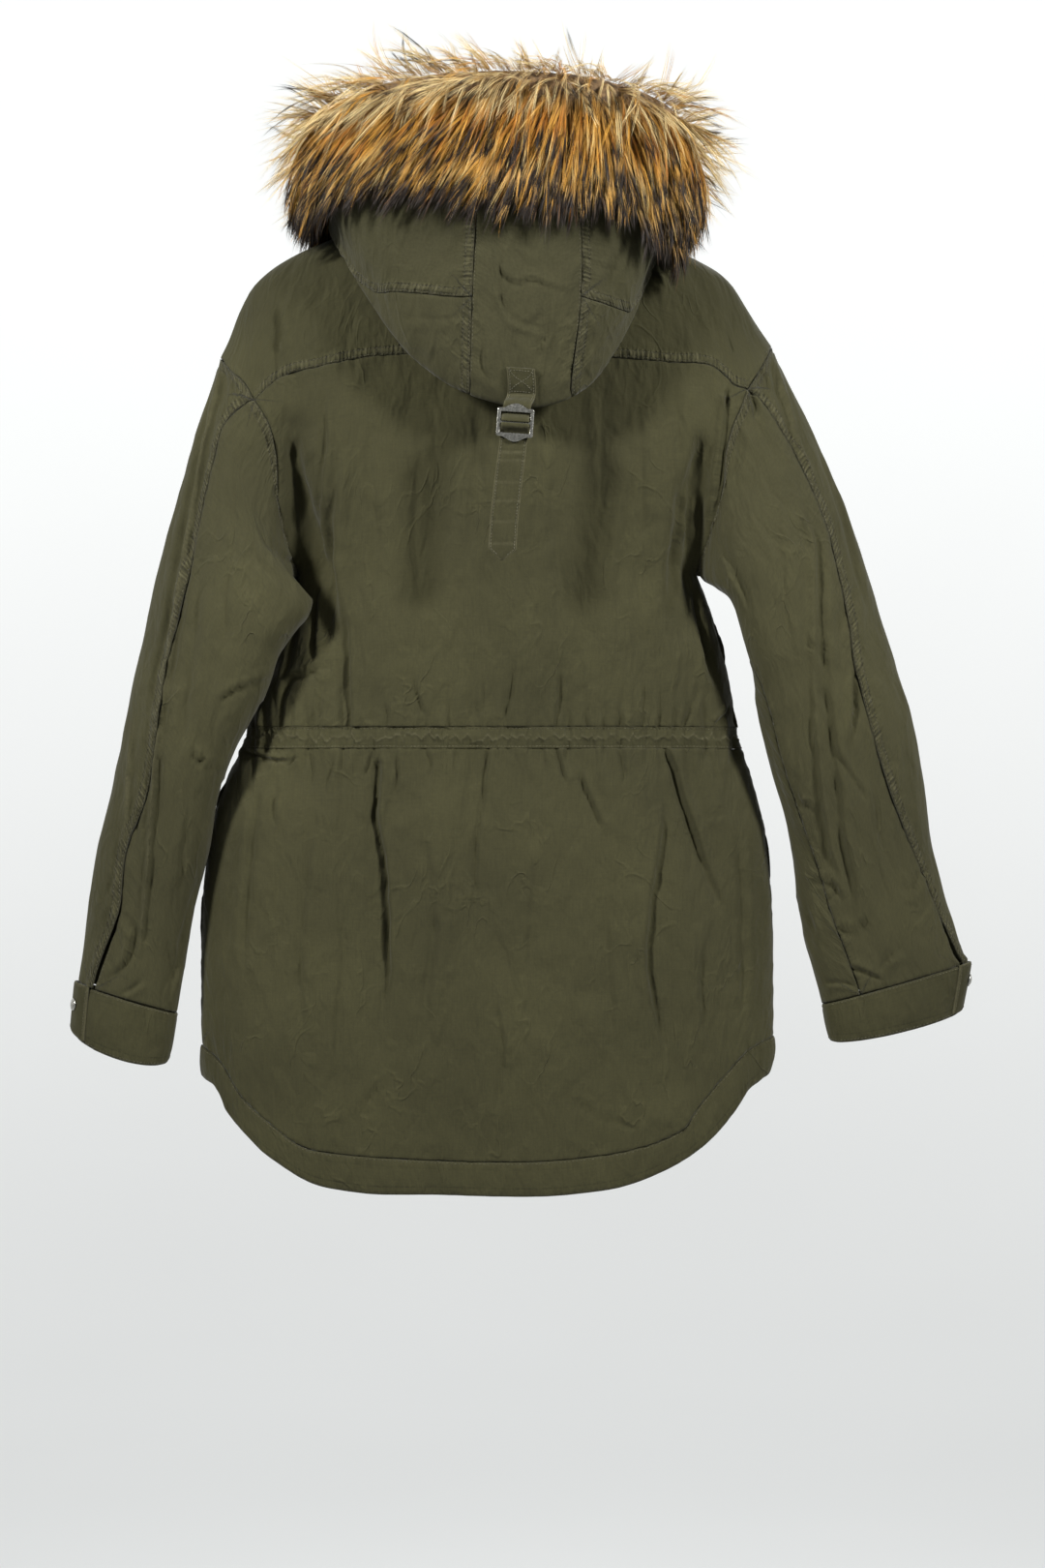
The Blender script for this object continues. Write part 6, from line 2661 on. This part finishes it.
def skin_material():
    mat, tree, shader = new_material("fur_backing")
    place = add(tree, "ShaderNodeTexCoord")
    noise = add(tree, "ShaderNodeTexNoise", in_Scale=190.0, in_Detail=4.0)
    tree.links.new(place.outputs["Object"], noise.inputs["Vector"])
    tree.links.new(mixed(tree, ranged(tree, noise.outputs["Fac"], 0.35, 0.65, 0, 1),
                         (0.07, 0.042, 0.02), (0.24, 0.15, 0.07)), shader.inputs["Base Color"])
    bump = add(tree, "ShaderNodeBump", in_Strength=0.8)
    bump.inputs["Distance"].default_value = 0.001
    tree.links.new(noise.outputs["Fac"], bump.inputs["Height"])
    tree.links.new(bump.outputs[0], shader.inputs["Normal"])
    shader.inputs["Roughness"].default_value = 0.9
    return mat


def metal_material(name, colour, low, high):
    mat, tree, shader = new_material(name)
    place = add(tree, "ShaderNodeTexCoord")
    noise = add(tree, "ShaderNodeTexNoise", in_Scale=420.0, in_Detail=4.0)
    tree.links.new(place.outputs["Object"], noise.inputs["Vector"])
    tree.links.new(ranged(tree, noise.outputs["Fac"], 0.3, 0.7, low, high), shader.inputs["Roughness"])
    tree.links.new(mixed(tree, ranged(tree, noise.outputs["Fac"], 0.35, 0.7, 0, 1),
                         tuple(c * 0.8 for c in colour), colour), shader.inputs["Base Color"])
    shader.inputs["Metallic"].default_value = 1.0
    bump = add(tree, "ShaderNodeBump", in_Strength=0.15)
    bump.inputs["Distance"].default_value = 0.0001
    tree.links.new(noise.outputs["Fac"], bump.inputs["Height"])
    tree.links.new(bump.outputs[0], shader.inputs["Normal"])
    return mat


def wood_material():
    mat, tree, shader = new_material("beech")
    place = add(tree, "ShaderNodeTexCoord")
    stretch = add(tree, "ShaderNodeMapping")
    stretch.inputs["Scale"].default_value = (9.0, 190.0, 150.0)
    tree.links.new(place.outputs["Object"], stretch.inputs["Vector"])
    grain = add(tree, "ShaderNodeTexNoise", in_Scale=1.0, in_Detail=5.0, in_Roughness=0.6)
    tree.links.new(stretch.outputs[0], grain.inputs["Vector"])
    tree.links.new(mixed(tree, ranged(tree, grain.outputs["Fac"], 0.3, 0.7, 0, 1),
                         (0.21, 0.12, 0.052), (0.39, 0.26, 0.14)), shader.inputs["Base Color"])
    tree.links.new(ranged(tree, grain.outputs["Fac"], 0.3, 0.7, 0.35, 0.5), shader.inputs["Roughness"])
    bump = add(tree, "ShaderNodeBump", in_Strength=0.2)
    bump.inputs["Distance"].default_value = 0.0002
    tree.links.new(grain.outputs["Fac"], bump.inputs["Height"])
    tree.links.new(bump.outputs[0], shader.inputs["Normal"])
    return mat


# ================================================================ floor, light, camera
def make_stage():
    """A plain pale floor that curves up, far out, into a plain pale surround."""
    profile = [(0.0, FLOOR_Z), (1.0, FLOOR_Z), (2.0, FLOOR_Z), (2.6, FLOOR_Z)]
    for k in range(1, 17):
        a = math.radians(90 * k / 16)
        profile.append((2.6 + 3.4 * math.sin(a), FLOOR_Z + 3.4 * (1 - math.cos(a))))
    profile.append((6.0, 3.6))
    n = 96
    verts, faces = [(0, 0, FLOOR_Z)], []
    for r, z in profile[1:]:
        for k in range(n):
            a = 2 * math.pi * k / n
            verts.append((r * math.cos(a), r * math.sin(a), z))
    for k in range(n):
        faces.append((0, 1 + k, 1 + (k + 1) % n))
    for j in range(len(profile) - 2):
        for k in range(n):
            a, b = 1 + j * n + k, 1 + j * n + (k + 1) % n
            faces.append((a, a + n, b + n, b))
    me = bpy.data.meshes.new("stage_floor")
    me.from_pydata(verts, [], faces)
    me.update()
    me.shade_smooth()
    ob = bpy.data.objects.new("stage_floor", me)
    SCENE.collection.objects.link(ob)
    mat, tree, shader = new_material("stage_pale")
    place = add(tree, "ShaderNodeTexCoord")
    noise = add(tree, "ShaderNodeTexNoise", in_Scale=1.2, in_Detail=2.0)
    tree.links.new(place.outputs["Object"], noise.inputs["Vector"])
    col = mixed(tree, ranged(tree, noise.outputs["Fac"], 0.3, 0.7, 0, 1),
                (0.34, 0.35, 0.347), (0.36, 0.37, 0.367))
    tree.links.new(col, shader.inputs["Base Color"])
    shader.inputs["Roughness"].default_value = 0.95
    # it glows by itself, more so behind the coat than on the camera's side
    apart = add(tree, "ShaderNodeSeparateXYZ")
    tree.links.new(place.outputs["Object"], apart.inputs[0])
    glow = add(tree, "ShaderNodeMapRange", interpolation_type="SMOOTHSTEP")
    tree.links.new(apart.outputs["Y"], glow.inputs[0])
    for k, value in zip((1, 2, 3, 4), (-5.5, 4.5, STAGE_GLOW[0], STAGE_GLOW[1])):
        glow.inputs[k].default_value = value
    low = add(tree, "ShaderNodeMapRange", interpolation_type="SMOOTHSTEP")
    tree.links.new(apart.outputs["Z"], low.inputs[0])
    for k, value in zip((1, 2, 3, 4), (-2.6, 0.9, 0.528, 1.047)):
        low.inputs[k].default_value = value
    both = add(tree, "ShaderNodeMath", operation="MULTIPLY")
    tree.links.new(glow.outputs[0], both.inputs[0])
    tree.links.new(low.outputs[0], both.inputs[1])
    shader.inputs["Emission Color"].default_value = (0.93, 0.94, 0.935, 1)
    tree.links.new(both.outputs[0], shader.inputs["Emission Strength"])
    me.materials.append(mat)
    ob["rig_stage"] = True


FLOOR_Z = -1.75
STAGE_GLOW = (0.10, 0.84)  # on the camera's side, and behind the coat


def soft_light(name, place, toward, size, power, spread=180, colour=(1, 1, 1)):
    data = bpy.data.lights.new(name, "AREA")
    data.shape = "RECTANGLE"
    data.size, data.size_y = size
    data.energy = power
    data.spread = math.radians(spread)
    data.color = colour
    ob = bpy.data.objects.new(name, data)
    SCENE.collection.objects.link(ob)
    ob.location = place
    ob.rotation_euler = (Vector(toward) - Vector(place)).to_track_quat("-Z", "Y").to_euler()


def make_light():
    world = bpy.data.worlds.new("pale")
    world.use_nodes = True
    back = world.node_tree.nodes["Background"]
    back.inputs["Color"].default_value = (0.97, 0.98, 1.0, 1)
    back.inputs["Strength"].default_value = 0.35
    SCENE.world = world
    soft_light("soft_left", (-2.2, -1.9, 0.95), (0, 0, -0.45), (0.45, 0.5), 19.6, 62)
    soft_light("soft_right", (2.3, -1.9, 0.90), (0, 0, -0.45), (0.45, 0.5), 19.0, 62)
    soft_light("soft_behind", (0.6, 3.0, 1.9), (0, 0, -0.4), (1.2, 1.2), 24, 80)


def make_camera():
    data = bpy.data.cameras.new("camera")
    data.sensor_fit = "VERTICAL"
    data.sensor_height, data.sensor_width = 24.0, 24.0
    data.lens = 24.0 * 3.0 / 1.3932
    ob = bpy.data.objects.new("camera", data)
    SCENE.collection.objects.link(ob)
    ob.location = (0.02494, -3.05, -0.58136)
    ob.rotation_euler = (math.radians(90), 0, 0)
    SCENE.camera = ob


# ================================================================ all of it
HOOD_OUT = hood_out_sign()


def main():
    make_camera()
    make_stage()
    make_light()
    cotton = cloth_material("olive_cotton_cloth", COTTON, COTTON_WORN)
    trim = cloth_material("olive_trim_cloth", TRIM, COTTON_WORN)
    thread = thread_material("olive_thread", (0.040, 0.037, 0.020), (0.085, 0.079, 0.048))
    pale = thread_material("pale_thread", (0.075, 0.071, 0.045), (0.135, 0.128, 0.088))
    nickel = metal_material("nickel", (0.42, 0.41, 0.37), 0.18, 0.34)
    make_body(cotton)
    for hand in (-1, 1):
        make_sleeve(hand, cotton)
        make_cuff(hand, cotton, trim, nickel)
    make_hood(cotton)
    make_strap(trim, nickel)
    make_hanger(wood_material(), metal_material("steel", (0.66, 0.66, 0.65), 0.12, 0.24))
    sew_threads(thread, pale)
    hairs = make_fur(fur_material(), skin_material())
    total = 0
    for ob in SCENE.objects:
        if ob.type == "MESH" and not ob.hide_render and not ob.get("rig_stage"):
            ob.data.calc_loop_triangles()
            k = len(ob.data.loop_triangles)
            total += k
            print("piece", ob.name, k)
    print("triangles", total, "hairs", hairs)
    for row in SHEETS:
        print("sheet", *row)


COTTON = (0.0300, 0.0280, 0.0118)
TRIM = (0.0285, 0.0265, 0.0113)
COTTON_WORN = (0.075, 0.069, 0.040)

main()
